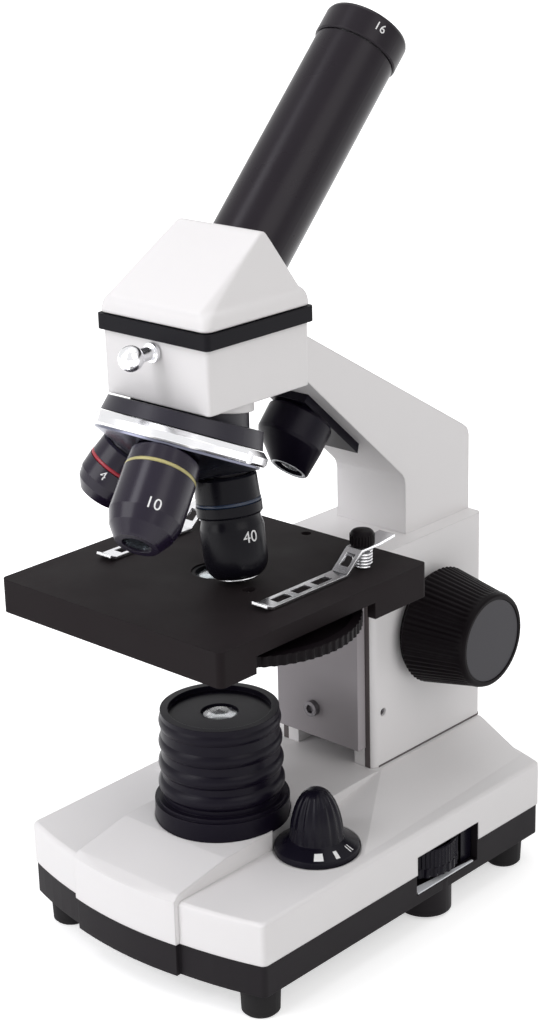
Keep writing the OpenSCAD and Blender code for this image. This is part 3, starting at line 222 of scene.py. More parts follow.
class NodeRack:
    """Shader node groups that more than one finish uses."""

    def __init__(self) -> None:
        """Builds the groups once."""
        self.grain = self._grain()
        self.wear = self._wear()
        self.dust = self._dust()
        self.tone = self._tone()

    @staticmethod
    def place(tree: bpy.types.NodeTree, group: bpy.types.NodeTree, **values: object) -> bpy.types.Node:
        """Puts a group into a tree.

        Args:
            tree: the tree that takes it.
            group: the node group.
            values: constant inputs of the group.

        Returns:
            The new group node.
        """
        node = tree.nodes.new("ShaderNodeGroup")
        node.node_tree = group
        return set_inputs(node, **values)

    @staticmethod
    def _grain() -> bpy.types.NodeTree:
        """Fine grain and a slow cloud, from object coordinates."""
        tree, gin, gout = open_group("surface_grain", "ShaderNodeTree",
                                     [("Vector", VECTOR, None), ("Size", FLOAT, 3000.0)],
                                     [("Height", FLOAT), ("Cloud", FLOAT)])
        fine = add(tree, "ShaderNodeTexNoise", Detail=3.0)
        cloud = add(tree, "ShaderNodeTexNoise", Scale=55.0, Detail=4.0)
        link(tree, (gin, "Vector", fine, "Vector"), (gin, "Size", fine, "Scale"), (gin, "Vector", cloud, "Vector"),
             (fine, "Fac", gout, "Height"), (cloud, "Fac", gout, "Cloud"))
        return tree

    @staticmethod
    def _wear() -> bpy.types.NodeTree:
        """Mask of the edges, where handling has polished or bared them."""
        tree, gin, gout = open_group("edge_wear", "ShaderNodeTree", [("Cloud", FLOAT, 0.5), ("Amount", FLOAT, 0.3)],
                                     [("Mask", FLOAT)])
        soft = add(tree, "ShaderNodeBevel", Radius=0.5 * MM)
        soft.samples = BEVEL_SAMPLES
        place = add(tree, "ShaderNodeNewGeometry")
        dot = add(tree, "ShaderNodeVectorMath")
        dot.operation = "DOT_PRODUCT"
        link(tree, (soft, "Normal", dot, 0), (place, "Normal", dot, 1))
        edge = maths(tree, "SUBTRACT", 1.0, dot.outputs["Value"])
        for factor in (6.0, gin.outputs["Cloud"], gin.outputs["Amount"]):
            edge = maths(tree, "MULTIPLY", edge, factor)
        tree.links.new(maths(tree, "MINIMUM", edge, 1.0), gout.inputs["Mask"])
        return tree

    @staticmethod
    def _dust() -> bpy.types.NodeTree:
        """Mask of the thin dust that settles on level surfaces."""
        tree, gin, gout = open_group("settled_dust", "ShaderNodeTree", [("Vector", VECTOR, None)], [("Mask", FLOAT)])
        place = add(tree, "ShaderNodeTexCoord")
        split = add(tree, "ShaderNodeSeparateXYZ")
        speck = add(tree, "ShaderNodeTexNoise", Scale=260.0, Detail=6.0)
        link(tree, (place, "Normal", split, 0), (gin, "Vector", speck, "Vector"))
        up = maths(tree, "POWER", maths(tree, "MAXIMUM", split.outputs["Z"], 0.0), 3.0)
        tree.links.new(maths(tree, "MULTIPLY", up, speck.outputs["Fac"]), gout.inputs["Mask"])
        return tree

    @staticmethod
    def _tone() -> bpy.types.NodeTree:
        """Mixes colour, cloud, wear and dust into a colour and a roughness."""
        tree, gin, gout = open_group("worn_tone", "ShaderNodeTree", [
            ("Color", COLOR, (0.5, 0.5, 0.5, 1.0)), ("Cloud", FLOAT, 0.5), ("Mottle", FLOAT, 0.05),
            ("Worn Color", COLOR, (0.6, 0.6, 0.6, 1.0)), ("Wear", FLOAT, 0.0), ("Dust", FLOAT, 0.0),
            ("Dust Mask", FLOAT, 0.0), ("Roughness", FLOAT, 0.5),
        ], [("Color", COLOR), ("Roughness", FLOAT)])
        swing = maths(tree, "SUBTRACT", gin.outputs["Cloud"], 0.5)
        swing = maths(tree, "MULTIPLY", swing, gin.outputs["Mottle"])
        gain = maths(tree, "ADD", maths(tree, "MULTIPLY", swing, 2.0), 1.0)
        film = maths(tree, "MULTIPLY", gin.outputs["Dust"], gin.outputs["Dust Mask"])
        scale = add(tree, "ShaderNodeVectorMath")
        scale.operation = "SCALE"
        worn = add(tree, "ShaderNodeMix")
        worn.data_type = "RGBA"
        dusty = add(tree, "ShaderNodeMix")
        dusty.data_type = "RGBA"
        dusty.inputs[7].default_value = (0.45, 0.44, 0.43, 1.0)
        tree.links.new(gain, scale.inputs["Scale"])
        tree.links.new(film, dusty.inputs[0])
        link(tree, (gin, "Color", scale, 0), (gin, "Wear", worn, 0), (scale, 0, worn, 6), (gin, "Worn Color", worn, 7),
             (worn, 2, dusty, 6), (dusty, 2, gout, "Color"))
        rough = maths(tree, "ADD", gin.outputs["Roughness"], swing)
        rough = maths(tree, "ADD", rough, maths(tree, "MULTIPLY", film, 0.5))
        rough = maths(tree, "MINIMUM", maths(tree, "MAXIMUM", rough, 0.02), 1.0)
        tree.links.new(rough, gout.inputs["Roughness"])
        return tree


WHITE = Finish("white_plastic", (0.80, 0.785, 0.785), 0.45, depth_mm=0.012, mottle=0.015, wear=0.1,
               wear_color=(0.70, 0.68, 0.66), soft_mm=0.7, specular=0.3)
# The slide's white plastic, darkened as painted shade for the shadow that the stage casts on the slide.
PAINTED_SHADE_WHITE = Finish("slide_white_painted_shade", (0.36, 0.335, 0.35), 0.5, depth_mm=0.015, mottle=0.04, wear=0.1,
                     wear_color=(0.4, 0.38, 0.37), soft_mm=0.4, specular=0.3)
BLACK = Finish("black_plastic", (0.010, 0.0095, 0.012), 0.5, grain_mm=0.4, depth_mm=0.02, mottle=0.2, wear=0.08,
               wear_color=(0.05, 0.045, 0.05), dust=0.01, soft_mm=0.35, specular=0.08)
SHELL = Finish("lower_shell_plastic", (0.011, 0.009, 0.011), 0.55, grain_mm=0.45, depth_mm=0.03, mottle=0.2, wear=0.06,
               wear_color=(0.04, 0.036, 0.04), soft_mm=0.35, specular=0.14)
STAGE = Finish("stage_coating", (0.0125, 0.0095, 0.0105), 0.6, grain_mm=0.3, depth_mm=0.05, mottle=0.3, wear=0.12,
               wear_color=(0.05, 0.045, 0.05), dust=0.006, soft_mm=0.35, specular=0.07)
GRIP = Finish("grip_plastic", (0.0045, 0.003, 0.004), 0.42, grain_mm=0.35, depth_mm=0.015, mottle=0.25, wear=0.1,
              wear_color=(0.02, 0.018, 0.019), specular=0.07)
KNOB = Finish("dial_plastic", (0.006, 0.005, 0.010), 0.26, depth_mm=0.008, mottle=0.2, wear=0.08,
              wear_color=(0.035, 0.03, 0.04), soft_mm=0.2, specular=0.12)
CAP = Finish("cap_plastic", (0.014, 0.0125, 0.018), 0.4, grain_mm=0.8, depth_mm=0.01, mottle=0.08, soft_mm=0.2,
             specular=0.3)
LAMP_BLACK = Finish("lamp_plastic", (0.006, 0.0045, 0.010), 0.32, depth_mm=0.01, mottle=0.2, wear=0.08,
                    wear_color=(0.03, 0.026, 0.036), soft_mm=0.3, specular=0.11)
PLATE = Finish("plate_paint", (0.020, 0.018, 0.027), 0.38, depth_mm=0.012, mottle=0.12, wear=0.1,
               wear_color=(0.08, 0.08, 0.09), soft_mm=0.4, specular=0.25)
TUBE = Finish("tube_paint", (0.014, 0.0105, 0.015), 0.28, grain_mm=0.6, depth_mm=0.008, wear=0.12,
              wear_color=(0.09, 0.085, 0.09), soft_mm=0.3, specular=0.17)
BARREL = Finish("barrel_paint", (0.010, 0.0062, 0.0175), 0.25, grain_mm=0.9, depth_mm=0.005, wear=0.1,
                wear_color=(0.09, 0.09, 0.10), specular=0.3)
# Barrel paint darkened as painted shade, for the long objective that stands in shadow.
PAINTED_SHADE_BARREL = Finish("barrel_paint_painted_shade", (0.0055, 0.005, 0.008), 0.27, grain_mm=0.9, depth_mm=0.005,
                     wear=0.08, wear_color=(0.05, 0.05, 0.06), specular=0.13)
SATIN = Finish("satin_metal", (0.18, 0.185, 0.24), 0.27, metallic=1.0, grain=Grain.TURNED, grain_mm=0.3,
               depth_mm=0.01, mottle=0.08, soft_mm=0.2, specular=0.3)
DARK_STEEL = Finish("blackened_steel", (0.20, 0.19, 0.20), 0.38, metallic=1.0, grain=Grain.TURNED, grain_mm=0.3,
                    depth_mm=0.008, soft_mm=0.1)
CHROME = Finish("bright_metal", (0.84, 0.84, 0.86), 0.22, metallic=1.0, grain=Grain.TURNED,
                depth_mm=0.003, mottle=0.05)
STEEL = Finish("brushed_steel", (0.58, 0.58, 0.60), 0.32, metallic=1.0, grain=Grain.BRUSHED, grain_mm=0.25,
               depth_mm=0.006, mottle=0.08, soft_mm=0.15)
BRASS = Finish("machined_brass", (0.72, 0.52, 0.22), 0.3, metallic=1.0, grain=Grain.TURNED, grain_mm=0.25,
               depth_mm=0.006, soft_mm=0.1)
RUBBER = Finish("foot_rubber", (0.014, 0.013, 0.014), 0.75, depth_mm=0.04, mottle=0.2, soft_mm=0.3,
                specular=0.2)
BOARD = Finish("lamp_board", (0.05, 0.20, 0.09), 0.35, grain_mm=0.6, depth_mm=0.01, mottle=0.15, soft_mm=0.0)
SLEEVE = Finish("cell_sleeve", (0.25, 0.22, 0.10), 0.3, grain_mm=0.8, depth_mm=0.004, soft_mm=0.2)
INK = Finish("figure_ink", (0.80, 0.80, 0.80), 0.45, grain_mm=0.3, mottle=0.05, soft_mm=0.0)
# Pale plastic for painted highlights: the strip for the glint on the slot's lower edge, and the crescent of glint in
# the upper lamp.
PAINTED_HIGHLIGHT = Finish("slot_lip_plastic", (0.86, 0.88, 0.92), 0.25, grain_mm=0.4, mottle=0.06, soft_mm=0.1)
RED = Finish("ring_red", (0.36, 0.02, 0.035), 0.35, grain_mm=0.3, soft_mm=0.0)
YELLOW = Finish("ring_yellow", (0.46, 0.41, 0.17), 0.3, grain_mm=0.3, soft_mm=0.0)
BLUE = Finish("ring_blue", (0.007, 0.018, 0.045), 0.35, grain_mm=0.3, soft_mm=0.0)
LENS = GlassFinish("coated_lens", (0.82, 0.90, 0.93))
# A dark strip of painted shadow: the shade in the joint at the column's foot and in the gap beside the slide.
PAINTED_SHADOW = Finish("joint_shadow", (0.10, 0.085, 0.085), 0.7, grain_mm=0.4, depth_mm=0.02, mottle=0.15, soft_mm=0.1)
# Glass tinted dark as painted shade, for the dark recess behind the objectives' front lenses.
PAINTED_SHADE_GLASS = GlassFinish("objective_glass_painted_shade", (0.10, 0.12, 0.14), 0.06)
LAMP_LENS = GlassFinish("lamp_lens_glass", (0.88, 0.90, 0.92), 0.12)

NODE_FINISH: dict[str, Finish | GlassFinish] = {
    "base_top_shell": WHITE, "stand_arm": WHITE, "head_housing": WHITE, "stage_slide": PAINTED_SHADE_WHITE,
    "base_bottom_shell": SHELL, "battery_cover": SHELL, "head_band": BLACK, "nosepiece_plate": PLATE,
    "lamp_housing": LAMP_BLACK, "upper_lamp_housing": LAMP_BLACK, "upper_lamp_bracket": LAMP_BLACK,
    "light_dial": KNOB, "stage_plate": STAGE, "condenser_mount": BLACK,
    "focus_knob_left": GRIP, "focus_knob_right": GRIP, "clip_caps": GRIP, "diaphragm_wheel": GRIP,
    "dimmer_wheel": KNOB, "switch_body": GRIP, "dimmer_body": GRIP, "power_inlet": GRIP, "head_flange": GRIP,
    "knob_caps": CAP, "led_boards": BOARD, "rubber_feet": RUBBER, "eye_tube": TUBE, "eyepiece_cap": TUBE,
    "objective_4": BARREL, "objective_10": BARREL, "objective_40": PAINTED_SHADE_BARREL, "objective_40_nose": PAINTED_SHADE_BARREL,
    "nosepiece_cup": SATIN, "nosepiece_rim": CHROME, "lock_screw": CHROME, "clip_left": CHROME,
    "clip_right": CHROME, "clip_posts": CHROME, "eyepiece_barrel": CHROME, "base_screws": STEEL,
    "battery_contacts": STEEL, "slide_rails": STEEL, "friction_screw": DARK_STEEL, "nosepiece_pivot": STEEL,
    "click_spring": STEEL, "stage_screws": DARK_STEEL, "clip_springs": CHROME, "diaphragm_pivot": STEEL,
    "focus_shaft": STEEL, "batteries": SLEEVE, "shaft_bushes": BRASS, "focus_rack": BRASS,
    "focus_pinion": BRASS, "lamp_lens": LAMP_LENS, "upper_lamp_lens": LAMP_LENS, "condenser_lens": LENS,
    "objective_lenses": PAINTED_SHADE_GLASS, "prism": LENS, "eyepiece_lenses": LENS,
}


@dataclass
class Wardrobe:
    """Holds each finish's material, built once when first asked for."""

    rack: NodeRack
    made: dict[str, bpy.types.Material] = field(default_factory=dict)

    def get(self, finish: Finish | GlassFinish) -> bpy.types.Material:
        """Returns the material of a finish."""
        if finish.name not in self.made:
            self.made[finish.name] = finish.build(self.rack)
        return self.made[finish.name]

    def wear(self, obj: bpy.types.Object, finish: Finish | GlassFinish) -> None:
        """Gives an object one finish all over."""
        obj.data.materials.clear()
        obj.data.materials.append(self.get(finish))


def node_center(node: str) -> Vector:
    """Returns the middle of a node's box."""
    low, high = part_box(node)
    return (low + high) / 2


OPTICAL = node_center("lamp_housing")
OPTICAL_AXIS = Vector((OPTICAL.x, OPTICAL.y, 0.0))


def spot(x: float, y: float, z: float) -> Vector:
    """Returns the scene point for one in millimetres from the optical axis."""
    return OPTICAL_AXIS + Vector((x, y, z)) * MM


def angles(steps: int) -> list[float]:
    """Returns evenly spaced angles round a circle."""
    return [2 * math.pi * i / steps for i in range(steps)]


def placed(name: str, data: bpy.types.ID) -> bpy.types.Object:
    """Makes an object of some data and links it to the scene."""
    obj = bpy.data.objects.new(name, data)
    bpy.context.scene.collection.objects.link(obj)
    return obj


def mesh_object(name: str, build: Callable[[bmesh.types.BMesh], None], smooth: bool = True) -> bpy.types.Object:
    """Makes an object at the origin from a mesh-building function.

    Args:
        name: the piece's name.
        build: fills the mesh, in metres.
        smooth: shades the faces smooth.

    Returns:
        The new object, linked to the scene.
    """
    bm = bmesh.new()
    build(bm)
    bmesh.ops.remove_doubles(bm, verts=bm.verts, dist=1e-7)
    bmesh.ops.recalc_face_normals(bm, faces=bm.faces)
    for face in bm.faces:
        face.smooth = smooth
    mesh = bpy.data.meshes.new(name)
    bm.to_mesh(mesh)
    bm.free()
    return placed(name, mesh)


def loft(bm: bmesh.types.BMesh, rings: Sequence[Sequence[bmesh.types.BMVert]], shut: bool = False) -> None:
    """Joins rings of corners, one after another, with four-sided faces.

    Args:
        bm: the mesh to add to.
        rings: the rings, each with the same number of corners.
        shut: joins the last ring to the first.
    """
    for one, two in zip(rings, rings[1:] + rings[:1] if shut else rings[1:]):
        for i in range(len(one)):
            j = (i + 1) % len(one)
            bm.faces.new((one[i], one[j], two[j], two[i]))


def spin(bm: bmesh.types.BMesh, profile: Sequence[tuple[float, float]], place: Matrix, steps: int = 96) -> None:
    """Revolves a closed profile of (radius, height) points about Z, then places it.

    Args:
        bm: the mesh to add to.
        profile: points of the closed outline, in millimetres.
        place: matrix from the piece's own frame to the scene, in metres.
        steps: facets round the axis.
    """
    rings = [[bm.verts.new(place @ Vector((r * math.cos(a), r * math.sin(a), z))) for r, z in profile]
             for a in angles(steps)]
    loft(bm, rings, shut=True)


def shade_by_angle(obj: bpy.types.Object, degrees: float = 35.0) -> None:
    """Marks edges sharper than an angle as sharp, and the rest smooth."""
    bm = bmesh.new()
    bm.from_mesh(obj.data)
    limit = math.radians(degrees)
    for face in bm.faces:
        face.smooth = True
    for edge in bm.edges:
        edge.smooth = len(edge.link_faces) == 2 and edge.calc_face_angle(0.0) < limit
    bm.to_mesh(obj.data)
    bm.free()


def thin_plate(wardrobe: Wardrobe, name: str, corners: Sequence[tuple[float, float]], low: float, high: float,
               finish: Finish) -> None:
    """Adds a thin bevelled plate to the stand.

    Args:
        wardrobe: where the material comes from.
        name: the piece's name.
        corners: its plan, in millimetres from the optical axis.
        low: its underside, in millimetres.
        high: its top, in millimetres.
        finish: its finish.
    """
    def fill(bm: bmesh.types.BMesh) -> None:
        """Extrudes the plan and rounds its edges."""
        floor, roof = ([bm.verts.new(spot(x, y, z)) for x, y in corners] for z in (low, high))
        bm.faces.new(floor)
        bm.faces.new(roof)
        loft(bm, [floor, roof])
        bmesh.ops.bevel(bm, geom=list(bm.edges), offset=0.05 * MM, segments=2, affect="EDGES")

    obj = mesh_object(name, fill)
    shade_by_angle(obj, 40.0)
    wardrobe.wear(obj, finish)
    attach(obj, "stand")


def barrel_figure(wardrobe: Wardrobe, name: str, text: str, height: float, place: Matrix, facing: float,
                  radius: float, along: float) -> bpy.types.Object:
    """Makes a thin figure, wrapped round a barrel.

    Args:
        wardrobe: where the material comes from.
        name: the object's name.
        text: the figure.
        height: height of its digits, in millimetres.
        place: matrix from the barrel's own frame, in millimetres, to the scene.
        facing: direction that it faces round the barrel, in degrees.
        radius: radius that it lies on, in millimetres.
        along: its middle's place on the barrel's axis, in millimetres.

    Returns:
        The mesh object, linked to the scene.
    """
    curve = bpy.data.curves.new(name, "FONT")
    curve.body = text
    curve.align_x = "CENTER"
    curve.align_y = "CENTER"
    curve.size = height * 1.4
    curve.extrude = 0.03
    holder = placed(name + "_curve", curve)
    mesh = bpy.data.meshes.new_from_object(holder.evaluated_get(bpy.context.evaluated_depsgraph_get()))
    bpy.data.objects.remove(holder)
    mesh.name = name
    bm = bmesh.new()
    bm.from_mesh(mesh)
    bmesh.ops.triangulate(bm, faces=bm.faces)
    bmesh.ops.remove_doubles(bm, verts=bm.verts, dist=1e-5)
    for v in bm.verts:
        a = math.radians(facing) + v.co.x / radius
        r = radius + v.co.z
        v.co = place @ Vector((r * math.cos(a), r * math.sin(a), v.co.y + along))
    bm.to_mesh(mesh)
    bm.free()
    obj = placed(name, mesh)
    wardrobe.wear(obj, INK)
    return obj


@dataclass
class NosepieceFigures:
    """The long objective's rounded front, and the colour rings and figures of all three."""

    wardrobe: Wardrobe
    meet_mm: float = 190.5
    tilt_deg: float = 24.5
    rest_deg: float = 25.0
    long_mm: float = 9.7
    middle_mm: float = 10.5
    short_mm: float = 9.3
    nose_mm: float = 9.45
    nose_outline: tuple[tuple[float, float], ...] = (
        (4.0, -48.3), (8.75, -48.3), (8.75, -51.9), (8.85, -53.0), (9.2, -54.2), (9.42, -55.4), (9.42, -63.5),
        (9.32, -65.2), (9.0, -66.8), (8.45, -68.0), (7.7, -69.0), (6.8, -69.7), (6.1, -69.95), (4.9, -70.0),
        (4.8, -70.4), (2.6, -70.4), (1.8, -69.9), (1.8, -68.4), (4.0, -66.4),
    )
    tip_outline: tuple[tuple[float, float], ...] = (
        (5.0, -69.9), (5.95, -69.9), (6.05, -70.1), (5.95, -70.38), (5.0, -70.38),
    )

    def frame_of(self, turn: float) -> Matrix:
        """Matrix of an objective's own frame, whose -Z runs down its axis.

        Args:
            turn: the objective's turn on the nosepiece, in degrees.

        Returns:
            Millimetres to metres in the scene.
        """
        tilt = math.radians(self.tilt_deg)
        m = Matrix.Translation(spot(0.0, 0.0, self.meet_mm))
        m = m @ Matrix.Rotation(-tilt, 4, "X") @ Matrix.Rotation(-math.radians(turn), 4, "Z")
        return m @ Matrix.Rotation(tilt, 4, "X") @ Matrix.Scale(MM, 4)

    def ring(self, name: str, turn: float, groove: float, barrel: float, finish: Finish) -> None:
        """Lays a colour ring in a barrel's groove.

        Args:
            name: the piece's name.
            turn: the objective's turn, in degrees.
            groove: the groove's distance from the meeting point, in millimetres.
            barrel: the barrel's radius, in millimetres.
            finish: the ring's paint.
        """
        r, half = barrel - 0.6, 0.55
        outline = [(r, -groove - half), (r + 0.42, -groove - half), (r + 0.5, -groove), (r + 0.42, -groove + half),
                   (r, -groove + half)]
        obj = mesh_object(name, lambda bm: spin(bm, outline, self.frame_of(turn)))
        self.wardrobe.wear(obj, finish)
        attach(obj, "nosepiece")

    def nose(self) -> None:
        """Turns the long objective's full, rounded front and the bright ring at its tip."""
        place = self.frame_of(self.rest_deg)
        obj = mesh_object("full_nose", lambda bm: spin(bm, self.nose_outline, place))
        shade_by_angle(obj, 30.0)
        # The front takes the darkened barrel paint: painted shade.
        self.wardrobe.wear(obj, PAINTED_SHADE_BARREL)
        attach(obj, "sprung_nose")
        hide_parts("objective_40_nose")
        tip = mesh_object("tip_ring", lambda bm: spin(bm, self.tip_outline, place))
        shade_by_angle(tip, 50.0)
        self.wardrobe.wear(tip, CHROME)
        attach(tip, "sprung_nose")

    def build(self) -> None:
        """Makes the front, every ring and every figure."""
        long, middle, short = (self.rest_deg + turn for turn in (0.0, 120.0, 240.0))
        self.nose()
        self.ring("ring_long", long, 47.5, self.long_mm, BLUE)
        self.ring("ring_middle", middle, 45.2, self.middle_mm, YELLOW)
        self.ring("ring_short", short, 45.8, self.short_mm, RED)
        for name, body, text, height, turn, facing, radius, along in (
            ("figure_long", "sprung_nose", "40", 3.4, long, 10.0, self.nose_mm, -57.5),
            ("figure_middle", "nosepiece", "10", 3.4, middle, 103.0, self.middle_mm, -58.0),
            ("figure_short", "nosepiece", "4", 2.8, short, -157.0, self.short_mm, -48.4),
        ):
            obj = barrel_figure(self.wardrobe, name, text, height, self.frame_of(turn), facing, radius, along)
            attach(obj, body)
        LOG.info("nosepiece: 3 colour rings and 3 figures")


@dataclass
class EyepieceFigure:
    """The magnification figure on the eyepiece cap."""

    wardrobe: Wardrobe
    tilt_deg: float = 46.4
    foot_mm: Color = (0.0, 16.0, 210.5)
    along_mm: float = 78.0
    radius_mm: float = 13.07
    facing_deg: float = -31.0

    def build(self) -> None:
        """Wraps the figure round the cap."""
        place = Matrix.Translation(spot(*self.foot_mm))
        place = place @ Matrix.Rotation(math.radians(self.tilt_deg) - math.pi / 2, 4, "X") @ Matrix.Scale(MM, 4)
        obj = barrel_figure(self.wardrobe, "figure_eyepiece", "16", 2.7, place, self.facing_deg, self.radius_mm,
                            self.along_mm)
        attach(obj, "eyepiece")
        LOG.info("eyepiece: 1 figure")


@dataclass
class LightDial:
    """The dial's domed, fluted knob on its sloping collar, with three plain marks."""

    wardrobe: Wardrobe
    x_mm: float = 31.5
    y_mm: float = 8.0
    foot_mm: float = 34.5
    flutes: int = 15
    flute_mm: float = 0.42
    slope_low: tuple[float, float] = (12.4, 2.2)
    slope_high: tuple[float, float] = (8.9, 4.15)
    skirt: tuple[tuple[float, float], ...] = ((2.9, -9.0), (2.9, 0.0), (13.0, 0.0), (13.0, 1.5), (12.85, 1.9))
    dome: tuple[tuple[float, float], ...] = (
        (8.35, 4.5), (8.2, 6.0), (8.0, 8.0), (7.7, 10.0), (7.25, 12.0), (6.65, 14.0), (5.95, 15.8), (5.1, 17.4),
        (4.1, 18.7), (3.0, 19.6), (1.6, 20.2),
    )
    tip_mm: float = 20.4

    def place(self, r: float, a: float, z: float) -> Vector:
        """Returns the scene point for a radius, an angle and a height on the dial."""
        return spot(self.x_mm + r * math.cos(a), self.y_mm + r * math.sin(a), self.foot_mm + z)

    def slope(self, r: float) -> float:
        """Returns the height of the collar's slope at a radius."""
        (low_r, low_z), (high_r, high_z) = self.slope_low, self.slope_high
        return low_z + (low_r - r) * (high_z - low_z) / (low_r - high_r)

    def fill_knob(self, bm: bmesh.types.BMesh) -> None:
        """Lofts the rings of collar and dome, and closes both ends."""
        rings = []
        for r, z in (*self.skirt, self.slope_low, self.slope_high, *self.dome):
            fluted = max(0.0, min(1.0, (z - 4.6) / 1.2)) * max(0.0, min(1.0, (19.8 - z) / 3.0))
            rings.append([bm.verts.new(self.place(
                r - self.flute_mm * fluted * (0.5 - 0.5 * math.cos(a * self.flutes)) ** 1.5, a, z))
                for a in angles(self.flutes * 12)])
        loft(bm, rings)
        bm.faces.new(rings[0])
        tip = bm.verts.new(self.place(0.0, 0.0, self.tip_mm))
        for one, two in zip(rings[-1], rings[-1][1:] + rings[-1][:1]):
            bm.faces.new((one, two, tip))

    def mark(self, name: str, facing: float, radius: float, parts: Sequence[tuple[float, float, float]]) -> None:
        """Lays a plain mark on the collar's slope.

        Args:
            name: the piece's name.
            facing: direction round the dial, in degrees.
            radius: radius of its middle, in millimetres.
            parts: along, length and width of each of its bars, in millimetres.
        """
        def fill(bm: bmesh.types.BMesh) -> None:
            """Adds each bar as a thin closed plate, bent round the collar."""
            low, high = 0.005, 0.05
            for along, length, width in parts:
                near, far = radius - width / 2, radius + width / 2
                rows = []
                for share in (0.0, 0.2, 0.4, 0.6, 0.8, 1.0):
                    a = math.radians(facing) + (along + length * (share - 0.5)) / radius
                    rows.append([bm.verts.new(self.place(r, a, self.slope(r) + lift))
                                 for r, lift in ((near, low), (near, high), (far, high), (far, low))])
                loft(bm, rows)
                for end in (rows[0], rows[-1]):
                    bm.faces.new(end)

        obj = mesh_object(name, fill, smooth=False)
        self.wardrobe.wear(obj, INK)
        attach(obj, "light_dial")

    def build(self) -> None:
        """Makes the knob, which stands for the CAD dial, and its marks."""
        obj = mesh_object("dial_knob", self.fill_knob)
        shade_by_angle(obj, 30.0)
        self.wardrobe.wear(obj, KNOB)
        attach(obj, "light_dial")
        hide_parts("light_dial")
        self.mark("mark_square", -46.0, 11.1, [(0.0, 2.7, 2.3)])
        self.mark("mark_bar", -17.0, 11.1, [(0.0, 1.3, 2.4)])
        self.mark("mark_double", 12.0, 11.0, [(-0.55, 0.4, 2.2), (0.55, 0.4, 2.2)])
        LOG.info("dial: knob and 3 marks")


@dataclass
class RibTree:
    """Geometry Nodes that wind springs and set ribs round turned pieces."""

    wardrobe: Wardrobe

    @staticmethod
    def _start(name: str, **inputs: str) -> tuple:
        """Starts a modifier tree.

        Args:
            name: the tree's name.
            inputs: name and socket type of each input between the geometry and the finish.

        Returns:
            The tree, its input node and its output node.
        """
        inner = [(label, kind, None) for label, kind in inputs.items()]
        tree, gin, gout = open_group(name, "GeometryNodeTree", [
            ("Geometry", GEOMETRY, None), *inner, ("Finish", "NodeSocketMaterial", None)], [("Geometry", GEOMETRY)])
        tree.is_modifier = True
        return tree, gin, gout

    @staticmethod
    def _close(tree: bpy.types.NodeTree, source: bpy.types.Node, gin: bpy.types.Node, gout: bpy.types.Node) -> None:
        """Ends a tree in Realize Instances and Set Material."""
        real = add(tree, "GeometryNodeRealizeInstances")
        coat = add(tree, "GeometryNodeSetMaterial")
        link(tree, (source, 0, real, 0), (real, 0, coat, "Geometry"), (gin, "Finish", coat, "Material"),
             (coat, 0, gout, "Geometry"))

    def coil(self) -> bpy.types.NodeTree:
        """Builds the tree that winds a round-wire spring up from every point."""
        tree, gin, gout = self._start("wound_spring", Radius=FLOAT, Height=FLOAT, Turns=FLOAT, Wire=FLOAT)
        helix = add(tree, "GeometryNodeCurveSpiral", Resolution=40)
        wire = add(tree, "GeometryNodeCurvePrimitiveCircle", Resolution=14)
        sweep = add(tree, "GeometryNodeCurveToMesh", Fill_Caps=True)
        spread = add(tree, "GeometryNodeInstanceOnPoints")
        link(tree, (gin, "Radius", helix, "Start Radius"), (gin, "Radius", helix, "End Radius"),
             (gin, "Height", helix, "Height"), (gin, "Turns", helix, "Rotations"), (gin, "Wire", wire, "Radius"),
             (helix, 0, sweep, "Curve"), (wire, 0, sweep, "Profile Curve"), (gin, "Geometry", spread, "Points"),
             (sweep, 0, spread, "Instance"))
        self._close(tree, spread, gin, gout)
        return tree

    def ribs(self) -> bpy.types.NodeTree:
        """Builds the tree that sets upright round ribs about a centre and keeps the turned body."""
        tree, gin, gout = self._start("upright_ribs", Center=VECTOR, Radius=FLOAT, Height=FLOAT,
                                      Count="NodeSocketInt", Rib=FLOAT)
        circle = add(tree, "GeometryNodeMeshCircle")
        rib = add(tree, "GeometryNodeMeshCylinder", Vertices=8)
        spread = add(tree, "GeometryNodeInstanceOnPoints")
        shift = add(tree, "GeometryNodeTransform")
        smooth = add(tree, "GeometryNodeSetShadeSmooth", Shade_Smooth=False)
        join = add(tree, "GeometryNodeJoinGeometry")
        link(tree, (gin, "Count", circle, "Vertices"), (gin, "Radius", circle, "Radius"), (gin, "Rib", rib, "Radius"),
             (gin, "Height", rib, "Depth"), (circle, 0, spread, "Points"), (rib, "Mesh", spread, "Instance"),
             (spread, 0, shift, "Geometry"), (gin, "Center", shift, "Translation"), (shift, 0, smooth, "Geometry"),
             (smooth, 0, join, 0), (gin, "Geometry", join, 0))
        self._close(tree, join, gin, gout)
        return tree

    def run(self, obj: bpy.types.Object, tree: bpy.types.NodeTree, values: Sequence[dict[str, object]],
            finish: Finish) -> None:
        """Runs a tree on an object and keeps the result as its plain mesh.

        Args:
            obj: the object whose mesh the tree starts from.
            tree: the Geometry Nodes tree.
            values: named inputs, one set for each pass of the tree.
            finish: the finish that Set Material gives.
        """
        ids = {item.name: item.identifier for item in tree.interface.items_tree if item.in_out == "INPUT"}
        for number, named in enumerate(values):
            mod = obj.modifiers.new(f"{tree.name}_{number}", "NODES")
            mod.node_group = tree
            for label, value in {**named, "Finish": self.wardrobe.get(finish)}.items():
                mod[ids[label]] = value
        mesh = bpy.data.meshes.new_from_object(obj.evaluated_get(bpy.context.evaluated_depsgraph_get()))
        obj.modifiers.clear()
        old = obj.data
        obj.data = mesh
        bpy.data.meshes.remove(old)
        self.wardrobe.wear(obj, finish)
        for face in mesh.polygons:
            face.material_index = 0


